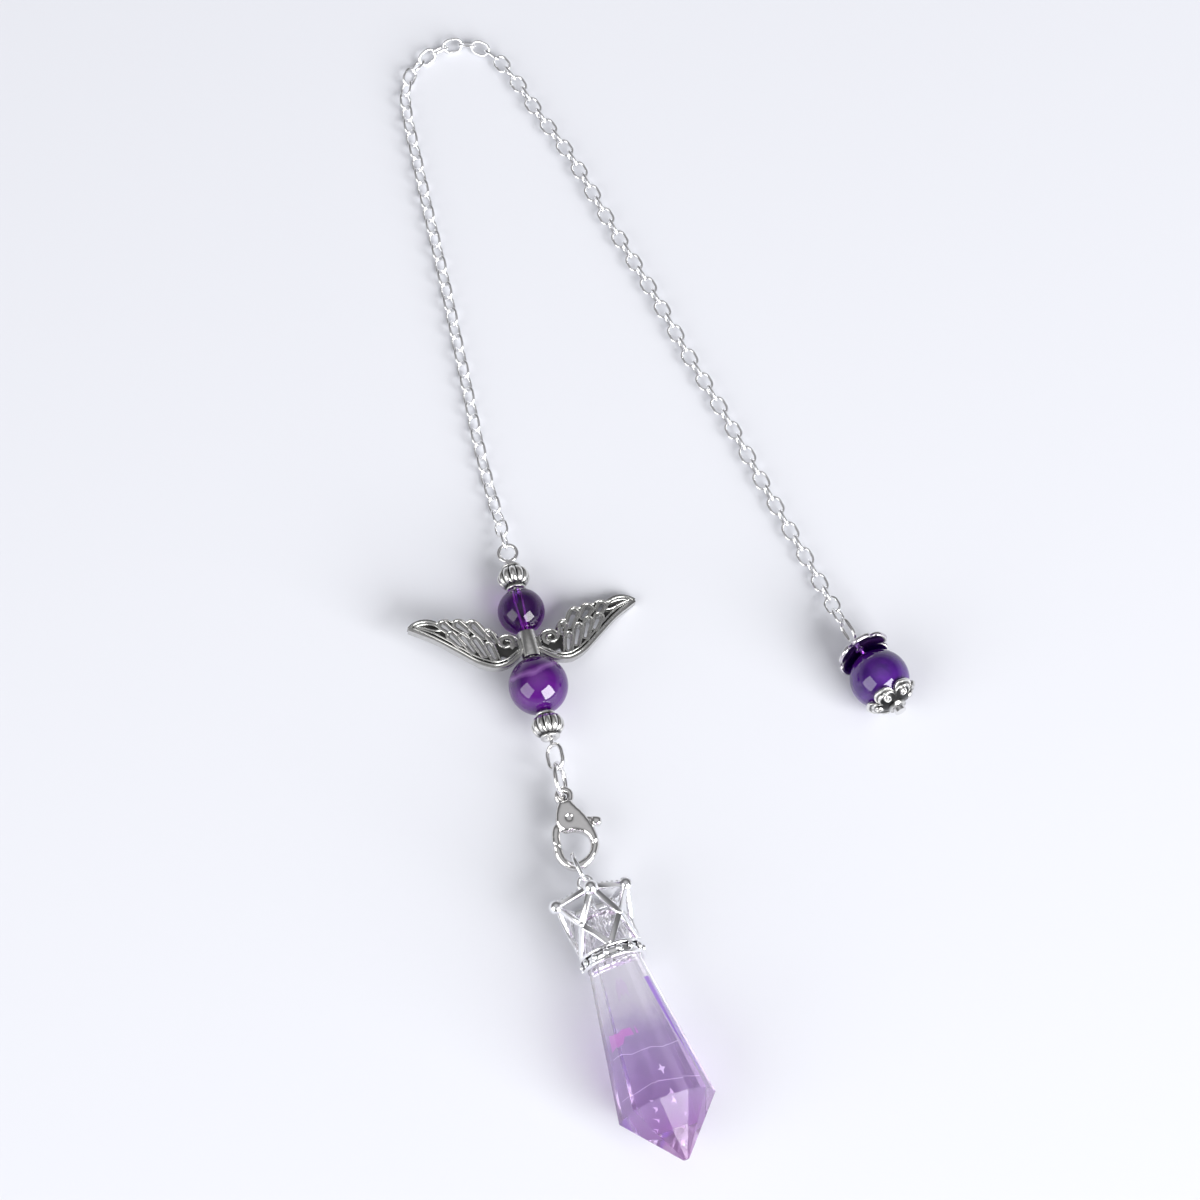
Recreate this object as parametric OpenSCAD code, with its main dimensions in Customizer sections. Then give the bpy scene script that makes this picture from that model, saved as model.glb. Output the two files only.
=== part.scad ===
// Pendulum pendant lying on a flat surface: a faceted amethyst point in a crown cap hangs from a lobster clasp,
// an angel-shaped pin of beads and wings, and a fine cable chain with a beaded grip at its free end.

/* [Chain] */
// Thickness of the chain's wire
chain_wire = 0.5; // [0.4:0.05:0.55]
// Outer width of a link
chain_link_w = 2.8; // [2.6:0.1:3.1]
// Outer length of a link
chain_link_l = 3.85; // [3.7:0.05:4.2]
// Slack between two links that hold each other
chain_slack = 0.16; // [0.12:0.01:0.24]

/* [Pins] */
// Thickness of the pins' wire
pin_wire = 0.7; // [0.6:0.05:0.8]
// Outer width of the pins' eyes
eye_w = 3.8; // [3.6:0.1:4.4]
// Outer length of the angel's lower eye
lower_eye_l = 5; // [4.6:0.1:5.6]
// Outer width of the grip's eye
grip_eye_w = 3.6; // [3.4:0.1:4]
// Outer length of the grip's eye
grip_eye_l = 5; // [4.8:0.1:5.6]
// Bare length of pin between the angel's upper eye and the next piece
upper_neck = 0.65; // [0.3:0.05:1]
// Bare length of pin between the angel's lower eye and the next piece
lower_neck = 0.95; // [0.5:0.05:1.4]
// Bare length of pin between the grip's eye and its flared cap
grip_neck = 1.4; // [1:0.1:2]
// Clearance between neighbours on a pin
stack_gap = 0.16; // [0.08:0.02:0.3]

/* [Beads] */
// Diameter of the angel's head bead
small_bead_d = 8; // [7:0.5:9]
// Diameter of the angel's body bead
large_bead_d = 10; // [9:0.5:12]
// Diameter of the grip's bead
grip_bead_d = 10; // [9:0.5:12]
// Drilled bore of the stone beads
bead_bore = 1; // [0.9:0.1:1.4]
// Diameter of a ribbed bead
rib_bead_d = 5.3; // [5:0.1:6]
// Height of a ribbed bead
rib_bead_h = 4.6; // [4.2:0.1:5]
// Diameter of the small flanges at a ribbed bead's ends
rib_flange_d = 3.4; // [3:0.1:3.8]
// Depth of the grooves between the ribs
rib_groove = 0.45; // [0.3:0.05:0.6]
// Number of ribs
rib_count = 12; // [10:1:14]

/* [Wings] */
// Reach of a wing from the pin to its tip
wing_span = 19.5; // [17:0.5:22]
// Height that the wing's outline is drawn to
wing_h = 10; // [9:0.5:11]
// Thickness of the wing at its raised feathers
wing_t = 1.4; // [1.2:0.1:1.8]
// Thickness of the web between the feathers
wing_web_t = 0.7; // [0.5:0.1:0.9]
// Width of a raised feather edge
feather_edge = 0.42; // [0.35:0.01:0.5]
// Diameter of the tube between the wings
wing_tube_d = 3.2; // [3:0.1:3.6]
// Length of the tube between the wings
wing_tube_l = 4.7; // [4.3:0.1:5.1]
// Bore of the tube
wing_tube_bore = 1.5; // [1.2:0.1:1.8]

/* [Grip caps] */
// Height of the caps' scrolls over their petals
cap_relief = 0.35; // [0.25:0.05:0.5]
// Thickness of the petals
cap_plate_t = 0.4; // [0.3:0.05:0.5]
// Clearance between the outer cap and the bead that it hugs
cap_gap = 0.22; // [0.18:0.02:0.4]
// Angle from the outer cap's middle to its petal tips
cap_reach = 54; // [50:1:60]
// Radius of the flared cap's dome
flare_r = 6.6; // [6.2:0.1:7.4]
// Angle from the flared cap's middle to its petal tips
flare_reach = 43; // [38:1:48]
// Distance from the flared cap's hub to the bead
flare_off = 1.4; // [1.2:0.1:2]
// Tilt of the flared cap on its pin
flare_tilt = 13; // [8:1:16]
// Diameter of a cap's hub
cap_hub_d = 3; // [2.6:0.1:3.4]
// Hole of a cap's hub
cap_bore = 1.25; // [1.1:0.05:1.4]
// Thickness of a cap's hub
cap_hub_t = 0.75; // [0.7:0.05:0.9]
// Number of petals of a cap
cap_petals = 6; // [6:1:6]
// Diameter of the head of the grip's pin
pin_head_d = 2; // [1.8:0.1:2.4]

/* [Rings] */
// Thickness of the jump rings' wire
ring_wire = 0.8; // [0.7:0.05:0.85]
// Outer diameter of the ring between pin and clasp
jump_ring_d = 6.4; // [6:0.1:6.8]
// Outer diameter of the ring between clasp and crown
crown_ring_d = 6.9; // [6.6:0.1:7.2]

/* [Clasp] */
// Length of the clasp from its ring's centre to the outside of its hook
clasp_l = 12.3; // [11.5:0.1:13.5]
// Width of the clasp's body
clasp_w = 7.2; // [7:0.1:8]
// Thickness of the clasp's body
clasp_t = 2.4; // [2.2:0.1:2.8]
// Outer diameter of the clasp's end ring
clasp_ring_d = 2.9; // [2.8:0.1:3.2]
// Hole of the clasp's end ring
clasp_ring_bore = 1.5; // [1.4:0.1:1.7]
// Thickness of the lever in its slot
lever_t = 1; // [0.8:0.1:1.2]
// Thickness of the lever's gate and trigger
gate_t = 1.8; // [1.6:0.1:2]
// Width of the lever's gate
gate_w = 0.95; // [0.8:0.05:1]
// Diameter of the lever's rivet
rivet_d = 0.8; // [0.7:0.05:1]
// Clearance round the rivet
rivet_fit = 0.03; // [0.02:0.01:0.05]
// Clearance on each side of the lever
lever_fit = 0.06; // [0.05:0.01:0.1]

/* [Crown] */
// Number of the crown's points
crown_points = 5; // [5:1:5]
// Diameter of a crown ball
crown_ball_d = 2; // [1.8:0.1:2.3]
// Radius of the ring of crown balls
crown_ball_r = 6.2; // [6:0.1:6.6]
// Radius of the crown at the sides of its diamonds
crown_side_r = 5.3; // [5.2:0.1:5.6]
// Outer diameter of the crown's band
crown_band_d = 10.8; // [10.4:0.1:11.2]
// Height of the crown's band
crown_band_h = 2.5; // [2.2:0.1:2.8]
// Wall of the band between its rails
crown_wall = 0.45; // [0.4:0.05:0.6]
// Distance from the crown's balls to the foot of its band
crown_h = 11.8; // [11:0.2:13]
// Width of a crown bar
crown_bar = 0.95; // [0.8:0.05:1.1]
// Thickness of a crown bar
crown_bar_t = 0.8; // [0.6:0.05:0.9]
// Number of beads round the band
band_beads = 15; // [12:1:17]
// Diameter of a bead on the band
band_bead_d = 1.2; // [1:0.1:1.4]
// Number of fine dots on each rim bar
rim_dots = 5; // [4:1:6]
// Diameter of a fine dot
rim_dot_d = 0.6; // [0.5:0.05:0.7]
// Clearance between the crown's band and the crystal
crown_gap = 0.15; // [0.1:0.05:0.3]

/* [Crystal] */
// Radius of the crystal at its widest corners
crystal_r = 8; // [7.5:0.25:9]
// Distance from the crown's balls to the crystal's girdle
crystal_girdle_s = 36.2; // [32:0.2:40]
// Length of the crystal's point beyond the girdle
crystal_point_l = 8.6; // [7:0.2:10]
// Radius of the small flat at the crystal's point
crystal_table_r = 0.5; // [0.4:0.1:0.8]
// Distance from the crown's balls to the crystal's hidden top
crystal_top_s = 3; // [2.5:0.1:3.5]
// Bevel round the crystal's hidden top
crystal_bevel = 0.5; // [0.3:0.1:0.8]

/* [Crown peg] */
// Thickness of the peg's wire
peg_wire = 0.7; // [0.6:0.05:0.8]
// Outer diameter of the peg's eye
peg_eye_d = 3; // [2.9:0.1:3.3]
// Distance that the peg's eye reaches beyond the crown's balls
peg_reach = 4.35; // [4:0.05:4.8]
// Depth of the peg in the crystal
peg_depth = 4; // [3:0.5:6]
// Clearance round the peg in the crystal
peg_fit = 0.1; // [0.05:0.05:0.15]

/* [How it lies] */
// Heading of the angel's pin, from its chain end
pin_heading = -77.5; // [-80:0.5:-75]
// Roll of the angel's lower eye
lower_eye_roll = 42; // [38:1:48]
// Heading of the ring between pin and clasp
jump_ring_heading = -76; // [-80:1:-72]
// Drop of that ring from the pin's eye to the clasp
jump_ring_drop = 1.3; // [1:0.1:1.6]
// Roll of that ring from upright
jump_ring_roll = 18; // [12:1:24]
// Heading of the clasp
clasp_heading = -78.5; // [-82:0.5:-75]
// Heading of the ring between clasp and crown
crown_ring_heading = -72; // [-76:1:-68]
// Drop of that ring from the crown's peg to the clasp
crown_ring_drop = 2.5; // [2.2:0.1:2.8]
// Roll of that ring from upright
crown_ring_roll = 10; // [5:1:15]
// Heading of the crown and crystal
pendant_heading = -70.7; // [-73:0.5:-68]
// Heading of the grip, from its chain end
grip_heading = -61.5; // [-64:0.5:-58]
// Roll of the grip's eye
grip_eye_roll = 77; // [70:1:85]

/* [Hidden] */
$fn = 48;

// Route of the chain from the angel's upper eye to the grip's eye, as plain x and y where it lies
route = [[-16.05, 8.8], [-16.6, 10.9], [-17.2, 13.5], [-19.6, 22.3], [-21.5, 30.5], [-23.4, 40], [-25.7, 51],
    [-28, 62], [-30.5, 73], [-33.2, 85.5], [-35, 94], [-35.6, 99.8], [-34.2, 104.6], [-29.9, 108.8],
    [-24.8, 110], [-20, 107.8], [-15.6, 102.3], [-11.2, 95], [-5, 85.5], [0.9, 74], [6.9, 62.8],
    [10.8, 55.4], [15.4, 46], [19.7, 38], [24.3, 29], [29, 19.3], [33, 11.4], [37.2, 3], [39.2, -2],
    [40.65, -5.3]];

// Corners round the crystal, in degrees from straight up towards the right
crystal_corners = [-90, -45, -10, 25, 52, 90, 126, 162, 198, 234];

// Wing outline from the tip over the feathers to the scroll and back along the lower edge,
// as shares of the wing's span and height
wing_top = [[1, 0.565], [0.96, 0.625], [0.9, 0.665], [0.83, 0.66], [0.765, 0.605], [0.735, 0.635],
    [0.7, 0.655], [0.655, 0.635], [0.625, 0.6], [0.595, 0.625], [0.565, 0.63], [0.53, 0.605], [0.505, 0.56],
    [0.47, 0.585], [0.44, 0.585], [0.39, 0.51], [0.355, 0.385], [0.325, 0.385], [0.285, 0.32],
    [0.265, 0.24]];
wing_foot = [[0.07, -0.09], [0.135, -0.205], [0.21, -0.3], [0.31, -0.335], [0.395, -0.29], [0.49, -0.18],
    [0.615, 0.03], [0.8, 0.325]];
// Pierced slot of each feather, from its round top to its foot, as shares of the span and height,
// with its half width at each end as a share of the height
feathers = [[[0.705, 0.54], [0.668, 0.455], 0.038, 0.026], [[0.578, 0.515], [0.512, 0.37], 0.042, 0.026],
    [[0.447, 0.465], [0.376, 0.24], 0.044, 0.028], [[0.326, 0.258], [0.3, 0.135], 0.03, 0.02],
    [[0.655, 0.335], [0.592, 0.145], 0.034, 0.022], [[0.557, 0.285], [0.494, 0.01], 0.036, 0.022],
    [[0.457, 0.195], [0.399, -0.1], 0.036, 0.022], [[0.352, 0.05], [0.325, -0.175], 0.036, 0.024]];
// Dark leaf at the wing tip and window under the scroll, as shares of the span and height
leaf = [[0.93, 0.585], [0.87, 0.6], [0.79, 0.555], [0.735, 0.46], [0.79, 0.49], [0.86, 0.54]];
scroll_window = [[0.148, -0.125], [0.2, -0.165], [0.262, -0.12], [0.27, -0.215], [0.205, -0.235],
    [0.16, -0.19]];
// Scroll at the wing root: its centre, and its radius as a share of the height
scroll_at = [0.19, 0.075];
scroll_r = 0.15;
// Root of the wing at the tube, and the weld that joins its strokes
wing_root = [[0, 0.09], [0.1, 0.12], [0.1, -0.13], [0, -0.13]];
wing_weld = 0.02;

// Clasp body from its ring round the hook's inside to its tip and back round the outside,
// as shares of the clasp's width and length
clasp_neck = [[-0.13, -0.085], [-0.215, -0.178], [-0.272, -0.265], [-0.294, -0.325]];
clasp_inside = [[0.06, -0.482], [0.235, -0.52], [0.365, -0.59], [0.414, -0.69], [0.36, -0.8], [0.18, -0.895],
    [-0.07, -0.925], [-0.22, -0.875], [-0.295, -0.77], [-0.3, -0.62]];
clasp_outside = [[-0.445, -0.6], [-0.44, -0.775], [-0.335, -0.905], [-0.125, -0.995], [0.125, -0.995],
    [0.335, -0.92], [0.495, -0.795], [0.545, -0.685], [0.525, -0.565], [0.465, -0.44], [0.32, -0.27],
    [0.155, -0.14], [0.13, -0.085]];
lever_pivot = [0.1 / 7.2 * clasp_w, -0.317 * clasp_l];
lever_gate = [[0.014, -0.317], [-0.26, -0.398], [-0.362, -0.505], [-0.376, -0.655], [-0.372, -0.72]];
lever_trigger = [[0.014, -0.317], [0.46, -0.39], [0.69, -0.43]];

// Unit vectors, directions and smooth curves
function unit(v) = v / norm(v);
function heading_dir(heading, slope) =
    [cos(slope) * cos(heading), cos(slope) * sin(heading), sin(slope)];
function flat(v) = [v[0], v[1], 0];
function blend(a, b, c, d, t) = 0.5 * (2 * b + (c - a) * t + (2 * a - 5 * b + 4 * c - d) * t * t
    + (3 * b - a - 3 * c + d) * t * t * t);
function curve(p, n) = let (k = len(p) - 1) concat(
    [for (i = [0:k - 1], j = [0:n - 1]) blend(p[max(i - 1, 0)], p[i], p[i + 1], p[min(i + 2, k)], j / n)],
    [p[k]]);
function scaled(p, w, h) = [for (q = p) [q[0] * w, q[1] * h]];
function reach_along(p) = [for (i = 0, s = 0; i < len(p);
    s = s + (i + 1 < len(p) ? norm(p[i + 1] - p[i]) : 0), i = i + 1) s];
function ease(t) = let (u = max(0, min(1, t))) u * u * (3 - 2 * u);

// A ribbon of half width w along a path
function side_step(p, i, w) = let (d = unit(p[min(i + 1, len(p) - 1)] - p[max(i - 1, 0)])) [-d[1], d[0]] * w;
function ribbon(p, w) = concat([for (i = [0:len(p) - 1]) p[i] + side_step(p, i, w)],
    [for (i = [len(p) - 1:-1:0]) p[i] - side_step(p, i, w)]);

// A slot with round ends of radius a at p and b at q
function slot(p, q, a, b, n = 5) = let (turn = atan2(q[1] - p[1], q[0] - p[0])) concat(
    [for (i = [0:n]) p + a * [cos(turn + 90 + 180 * i / n), sin(turn + 90 + 180 * i / n)]],
    [for (i = [0:n]) q + b * [cos(turn - 90 + 180 * i / n), sin(turn - 90 + 180 * i / n)]]);

// Places children at p with their +Z along a heading and slope, and their +X up
module aim(p, heading, slope, roll = 0)
    translate(p) rotate([0, 90 - slope, heading]) rotate([0, 0, 180 + roll]) children();

// Turns a shape drawn flat, with x to the right and y back along the heading, into that frame
module laid() multmatrix([[0, 0, 1, 0], [-1, 0, 0, 0], [0, -1, 0, 0], [0, 0, 0, 1]]) children();

// A round wire ring in the XZ plane
module ring(d, wire) rotate([90, 0, 0]) rotate_extrude() translate([(d - wire) / 2, 0]) circle(d = wire);

// A long wire loop in the XZ plane, its length along X
module loop(l, w, wire) {
    r = (w - wire) / 2;
    straight = l - w;
    rotate([90, 0, 0]) {
        for (end = [-1, 1])
            translate([end * straight / 2, 0, 0]) rotate([0, 0, end * 90 - 180])
                rotate_extrude(angle = 180) translate([r, 0]) circle(d = wire);
        for (side = [-1, 1])
            translate([-straight / 2, side * r, 0]) rotate([0, 90, 0])
                cylinder(h = straight, d = wire);
    }
}

// The angel's pin: places along it from its upper eye's centre
eye_r = (eye_w - pin_wire) / 2;
lower_eye_r = (lower_eye_l - pin_wire) / 2;
s_rib_upper = eye_w / 2 + upper_neck + rib_bead_h / 2;
s_small = s_rib_upper + rib_bead_h / 2 + stack_gap + small_bead_d / 2;
s_wings = s_small + small_bead_d / 2 + stack_gap + wing_tube_l / 2;
s_large = s_wings + wing_tube_l / 2 + stack_gap + large_bead_d / 2;
s_rib_lower = s_large + large_bead_d / 2 + stack_gap + rib_bead_h / 2;
s_eye_lower = s_rib_lower + rib_bead_h / 2 + lower_neck + lower_eye_l / 2;
pin_slope = asin((large_bead_d - small_bead_d) / 2 / (s_large - s_small));
pin_dir = heading_dir(pin_heading, pin_slope);
eye_height = small_bead_d / 2 - s_small * sin(pin_slope);
pin_start = [route[0][0], route[0][1], 0] + flat(pin_dir) * eye_r + [0, 0, eye_height];
wing_height = eye_height + s_wings * sin(pin_slope);
wing_roll = -asin((wing_height - wing_t / 2 - wing_top[1][1] * wing_h * sin(pin_slope)) / wing_span);
chain_start_z = eye_height - eye_r * sin(pin_slope);

// The grip: places along it from its eye's centre
grip_eye_r = (grip_eye_l - pin_wire) / 2;
cap_dome_r = grip_bead_d / 2 + cap_gap;
cap_hub_out = cap_dome_r + cap_hub_t;
s_hub = grip_eye_l / 2 + grip_neck;
s_grip_bead = s_hub + flare_off + grip_bead_d / 2;
s_pin_head = s_grip_bead + cap_hub_out + stack_gap;
// The grip rests on its bead and on the low rim of the flared cap
flare_out_r = flare_r + cap_plate_t + cap_relief;
flare_depth = flare_r - flare_out_r * cos(flare_reach);
flare_rim_r = flare_out_r * sin(flare_reach);
flare_back = s_grip_bead - s_hub - flare_depth * cos(flare_tilt) - flare_rim_r * sin(flare_tilt);
flare_drop = flare_rim_r * cos(flare_tilt) - flare_depth * sin(flare_tilt);
grip_slope = atan2(flare_back, flare_drop)
    - acos(min(1, grip_bead_d / 2 / norm([flare_back, flare_drop])));
grip_dir = heading_dir(grip_heading, grip_slope);
grip_eye_height = grip_bead_d / 2 - s_grip_bead * sin(grip_slope);
route_end = route[len(route) - 1];
grip_start = [route_end[0], route_end[1], grip_eye_height] + flat(grip_dir) * grip_eye_r;
chain_end_z = grip_eye_height - grip_eye_r * sin(grip_slope);

// The pendant: it rests on two crown balls and on the crystal's lowest flat
point_step = 360 / crown_points;
crown_height = crown_ball_r * cos(point_step / 2) + crown_ball_d / 2;
crystal_flat_r = crystal_r * cos((crystal_corners[8] - crystal_corners[7]) / 2);
pendant_slope = asin((crystal_flat_r - crown_height) / crystal_girdle_s);
pendant_dir = heading_dir(pendant_heading, pendant_slope);
peg_eye_r = (peg_eye_d - peg_wire) / 2;
peg_end_z = crown_height - (peg_reach - peg_wire / 2) * sin(pendant_slope);

// The hanging links between the pin and the pendant, each a span between two wires that it holds
link_play = 0.3;
hook_w = 0.07 * clasp_l;
clasp_ring_half = norm([(clasp_ring_d - clasp_ring_bore) / 2, lever_t]) / 2;
hook_half = norm([hook_w, gate_t]) / 2;
jump_span = jump_ring_d - 2 * ring_wire - pin_wire / 2 - clasp_ring_half - link_play;
crown_span = crown_ring_d - 2 * ring_wire - peg_wire / 2 - hook_half - link_play;
lower_wire = pin_start + pin_dir * (s_eye_lower + lower_eye_r);
jump_flat = sqrt(jump_span * jump_span - jump_ring_drop * jump_ring_drop);
clasp_start = lower_wire + [jump_flat * cos(jump_ring_heading), jump_flat * sin(jump_ring_heading),
    -jump_ring_drop];
clasp_reach = clasp_l - hook_w / 2 + (clasp_ring_d + clasp_ring_bore) / 4;
hook_z = peg_end_z - crown_ring_drop;
clasp_slope = asin((hook_z - clasp_start[2]) / clasp_reach);
clasp_dir = heading_dir(clasp_heading, clasp_slope);
clasp_origin = clasp_start + clasp_dir * (clasp_ring_d + clasp_ring_bore) / 4;
hook_wire = clasp_start + clasp_dir * clasp_reach;
crown_flat = sqrt(crown_span * crown_span - crown_ring_drop * crown_ring_drop);
peg_wire_at = hook_wire + [crown_flat * cos(crown_ring_heading), crown_flat * sin(crown_ring_heading),
    crown_ring_drop];
crown_origin = peg_wire_at + pendant_dir * (peg_reach - peg_wire / 2);

// The chain: its links stand at equal steps along the route, lifted at both ends to the eyes
link_r = (chain_link_w - chain_wire) / 2;
link_straight = chain_link_l - chain_link_w;
link_hook = chain_link_l / 2 - chain_wire - pin_wire / 2 - chain_slack;
link_pitch = chain_link_l - 2 * chain_wire - chain_slack;
lift_reach = 9;
route_flat = curve(route, 6);
route_flat_s = reach_along(route_flat);
flat_total = route_flat_s[len(route_flat_s) - 1];
// Roll of the links: 45 degrees down to the bend, then lying and standing in turn beyond it,
// with a last turn at each end so that the end links stand across the eyes that they hold
roll_from = 0.44;
roll_to = 0.52;
twist_reach = 5;
floor_gap = 0.03;
function lying_roll(share) = 45 * (1 - ease((share - roll_from) / (roll_to - roll_from)));
function end_roll(s, total) = (stands(0) ? -25 : 25) * (1 - ease((s - link_hook) / twist_reach))
    + 45 * (1 - ease((total - link_hook - s) / twist_reach));
function rest_z(share) = link_r * max(abs(sin(lying_roll(share))), abs(cos(lying_roll(share))))
    + chain_wire / 2 + floor_gap;
function route_z(s) = rest_z(s / flat_total)
    + (chain_start_z - rest_z(0)) * (1 - ease(s / lift_reach))
    + (chain_end_z - rest_z(1)) * (1 - ease((flat_total - s) / lift_reach));
route_path = [for (i = [0:len(route_flat) - 1]) [route_flat[i][0], route_flat[i][1], route_z(route_flat_s[i])]];
route_s = reach_along(route_path);
route_total = route_s[len(route_s) - 1];
route_table = [for (axis = [0:2]) [for (i = [0:len(route_s) - 1]) [route_s[i], route_path[i][axis]]]];
function on_route(s) = [for (axis = [0:2]) lookup(s, route_table[axis])];
link_count = ceil((route_total - 2 * link_hook) / link_pitch) + 1;
link_step = (route_total - 2 * link_hook) / (link_count - 1);
link_split = round(link_count * 0.48);
function stands(i) = (link_count - 1 - i) % 2 == 0;

// The whole's box, which puts the origin at its bottom centre
tip_s = crystal_girdle_s + crystal_point_l;
box_left = min([for (p = route) p[0]]) - chain_link_w / 2;
box_right = grip_start[0] + s_grip_bead * grip_dir[0] + cap_hub_out;
box_back = max([for (p = route) p[1]]) + chain_link_w / 2;
box_front = crown_origin[1] + tip_s * pendant_dir[1];
to_origin = [-(box_left + box_right) / 2, -(box_back + box_front) / 2, 0];

// Chain links
module link() {
    for (end = [-1, 1])
        translate([end * link_straight / 2, 0, 0]) rotate([0, 0, end * 90 - 180])
            rotate_extrude(angle = 180) translate([link_r, 0]) circle(d = chain_wire);
    for (side = [-1, 1])
        translate([-link_straight / 2, side * link_r, 0]) rotate([0, 90, 0])
            cylinder(h = link_straight, d = chain_wire);
}

module link_at(i) {
    s = link_hook + i * link_step;
    p = on_route(s);
    along = unit(on_route(s + link_step / 2) - on_route(s - link_step / 2));
    side = unit(cross([0, 0, 1], along));
    roll = lying_roll(s / route_total) + end_roll(s, route_total) + (stands(i) ? 90 : 0);
    across = cos(roll) * side + sin(roll) * cross(along, side);
    out = cross(along, across);
    multmatrix([[along[0], across[0], out[0], p[0]], [along[1], across[1], out[1], p[1]],
        [along[2], across[2], out[2], p[2]], [0, 0, 0, 1]]) link();
}

module chain_near() color("gainsboro") for (i = [0:link_split - 1]) link_at(i);

module chain_far() color("gainsboro") for (i = [link_split:link_count - 1]) link_at(i);

// Pieces on the angel's pin
module wing_pin() color("silver") aim(pin_start, pin_heading, pin_slope) {
    rotate([0, 0, 90]) ring(eye_w, pin_wire);
    translate([0, 0, eye_r]) cylinder(h = s_eye_lower - eye_r - lower_eye_r, d = pin_wire);
    translate([0, 0, s_eye_lower]) rotate([0, 0, 90 + lower_eye_roll]) rotate([0, 90, 0])
        loop(lower_eye_l, eye_w, pin_wire);
}

module rib_bead() {
    around = rib_count * 4;
    levels = [0, 0.07, 0.12, 0.28, 0.5, 0.72, 0.88, 0.93, 1];
    swell = (rib_bead_d - rib_flange_d) / 2;
    // Radius of the bead at a level and a turn, with its lobes between the plain flanges
    function bulge(level) = abs(level - 0.5) > 0.4 ? 0 : sqrt(1 - pow((2 * level - 1) / 0.86, 2));
    function groove(k) = [0, 0.35, 1, 0.35][k % 4];
    function rib_r(level, k) = rib_flange_d / 2 + bulge(level) * (swell - rib_groove * groove(k));
    outer = [for (level = levels, k = [0:around - 1])
        [rib_r(level, k) * cos(360 * k / around), rib_r(level, k) * sin(360 * k / around),
            (level - 0.5) * rib_bead_h]];
    bore = [for (end = [0.5, -0.5], k = [0:around - 1])
        [bead_bore * 0.6 * cos(360 * k / around), bead_bore * 0.6 * sin(360 * k / around), end * rib_bead_h]];
    rows = len(levels) + 2;
    polyhedron(concat(outer, bore), [for (i = [0:rows - 1], k = [0:around - 1])
        [i * around + k, (i + 1) % rows * around + k, (i + 1) % rows * around + (k + 1) % around,
            i * around + (k + 1) % around]], convexity = 6);
}

module rib_bead_upper() color("darkgray") aim(pin_start + pin_dir * s_rib_upper, pin_heading, pin_slope) rib_bead();

module rib_bead_lower() color("darkgray") aim(pin_start + pin_dir * s_rib_lower, pin_heading, pin_slope) rib_bead();

module stone_bead(d) difference() {
    sphere(d = d);
    cylinder(h = d + 1, d = bead_bore, center = true);
}

module bead_small() color("indigo") aim(pin_start + pin_dir * s_small, pin_heading, pin_slope)
    stone_bead(small_bead_d);

module bead_large() color("purple") aim(pin_start + pin_dir * s_large, pin_heading, pin_slope)
    stone_bead(large_bead_d);

// One wing, drawn flat with the pin along y and the tip towards +x
module wing() {
    top = scaled(wing_top, wing_span, wing_h);
    foot = scaled(wing_foot, wing_span, wing_h);
    rail = curve(concat(foot, [top[0]]), 4);
    scroll_c = [scroll_at[0] * wing_span, scroll_at[1] * wing_h];
    scroll_out = scroll_r * wing_h;
    curl = [for (i = [0:10]) scroll_c + (scroll_out - feather_edge * 0.8) * (i < 8 ? 1 : 1 - (i - 7) * 0.22)
        * [cos(250 - 38 * i), sin(250 - 38 * i)]];
    difference() {
        union() {
            // Thin web
            translate([0, 0, -wing_web_t / 2]) linear_extrude(wing_web_t) offset(delta = wing_weld) {
                polygon(concat(curve(top, 2), [scroll_c + [0.3, 0.6] * scroll_out], curve(foot, 2)));
                translate(scroll_c) circle(r = scroll_out, $fn = 24);
            }
            // Raised edges of the feathers, the lower rail, the leaf at the tip, the scroll and the root
            translate([0, 0, -wing_t / 2]) linear_extrude(wing_t) offset(delta = wing_weld) {
                for (f = feathers)
                    polygon(slot([f[0][0] * wing_span, f[0][1] * wing_h],
                        [f[1][0] * wing_span, f[1][1] * wing_h], f[2] * wing_h + feather_edge,
                        f[3] * wing_h + feather_edge * 0.8));
                polygon(ribbon(rail, feather_edge * 0.8));
                polygon(ribbon(curve([for (i = [0:4]) top[i]], 3), feather_edge * 0.7));
                polygon(ribbon(curl, feather_edge * 0.8));
                polygon([for (p = wing_root) [p[0] * wing_span, p[1] * wing_h]]);
            }
        }
        // Slots of the feathers, the eye of the scroll and the window under it, cut through
        translate([0, 0, -wing_t]) linear_extrude(2 * wing_t) {
            for (f = feathers)
                polygon(slot([f[0][0] * wing_span, f[0][1] * wing_h], [f[1][0] * wing_span, f[1][1] * wing_h],
                    f[2] * wing_h, f[3] * wing_h));
            polygon(scaled(scroll_window, wing_span, wing_h));
        }
    }
}

module wing_spacer() color("dimgray")
    aim(pin_start + pin_dir * s_wings, pin_heading, pin_slope, wing_roll) difference() {
        union() {
            cylinder(h = wing_tube_l, d = wing_tube_d, center = true);
            laid() wing();
            laid() mirror([1, 0, 0]) wing();
        }
        cylinder(h = wing_tube_l + 1, d = wing_tube_bore, center = true);
    }

// Rings that link the pin, the clasp and the crown
module jump_ring() color("silver")
    aim((lower_wire + clasp_start) / 2, jump_ring_heading, -asin(jump_ring_drop / jump_span), jump_ring_roll)
        translate([0, 0, (clasp_ring_half - pin_wire / 2) / 2]) ring(jump_ring_d, ring_wire);

module crown_ring() color("silver")
    aim((hook_wire + peg_wire_at) / 2, crown_ring_heading, asin(crown_ring_drop / crown_span), crown_ring_roll)
        translate([0, 0, (peg_wire / 2 - hook_half) / 2]) ring(crown_ring_d, ring_wire);

// Lobster clasp
cheek_r = 0.3125 * clasp_w;
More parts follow.
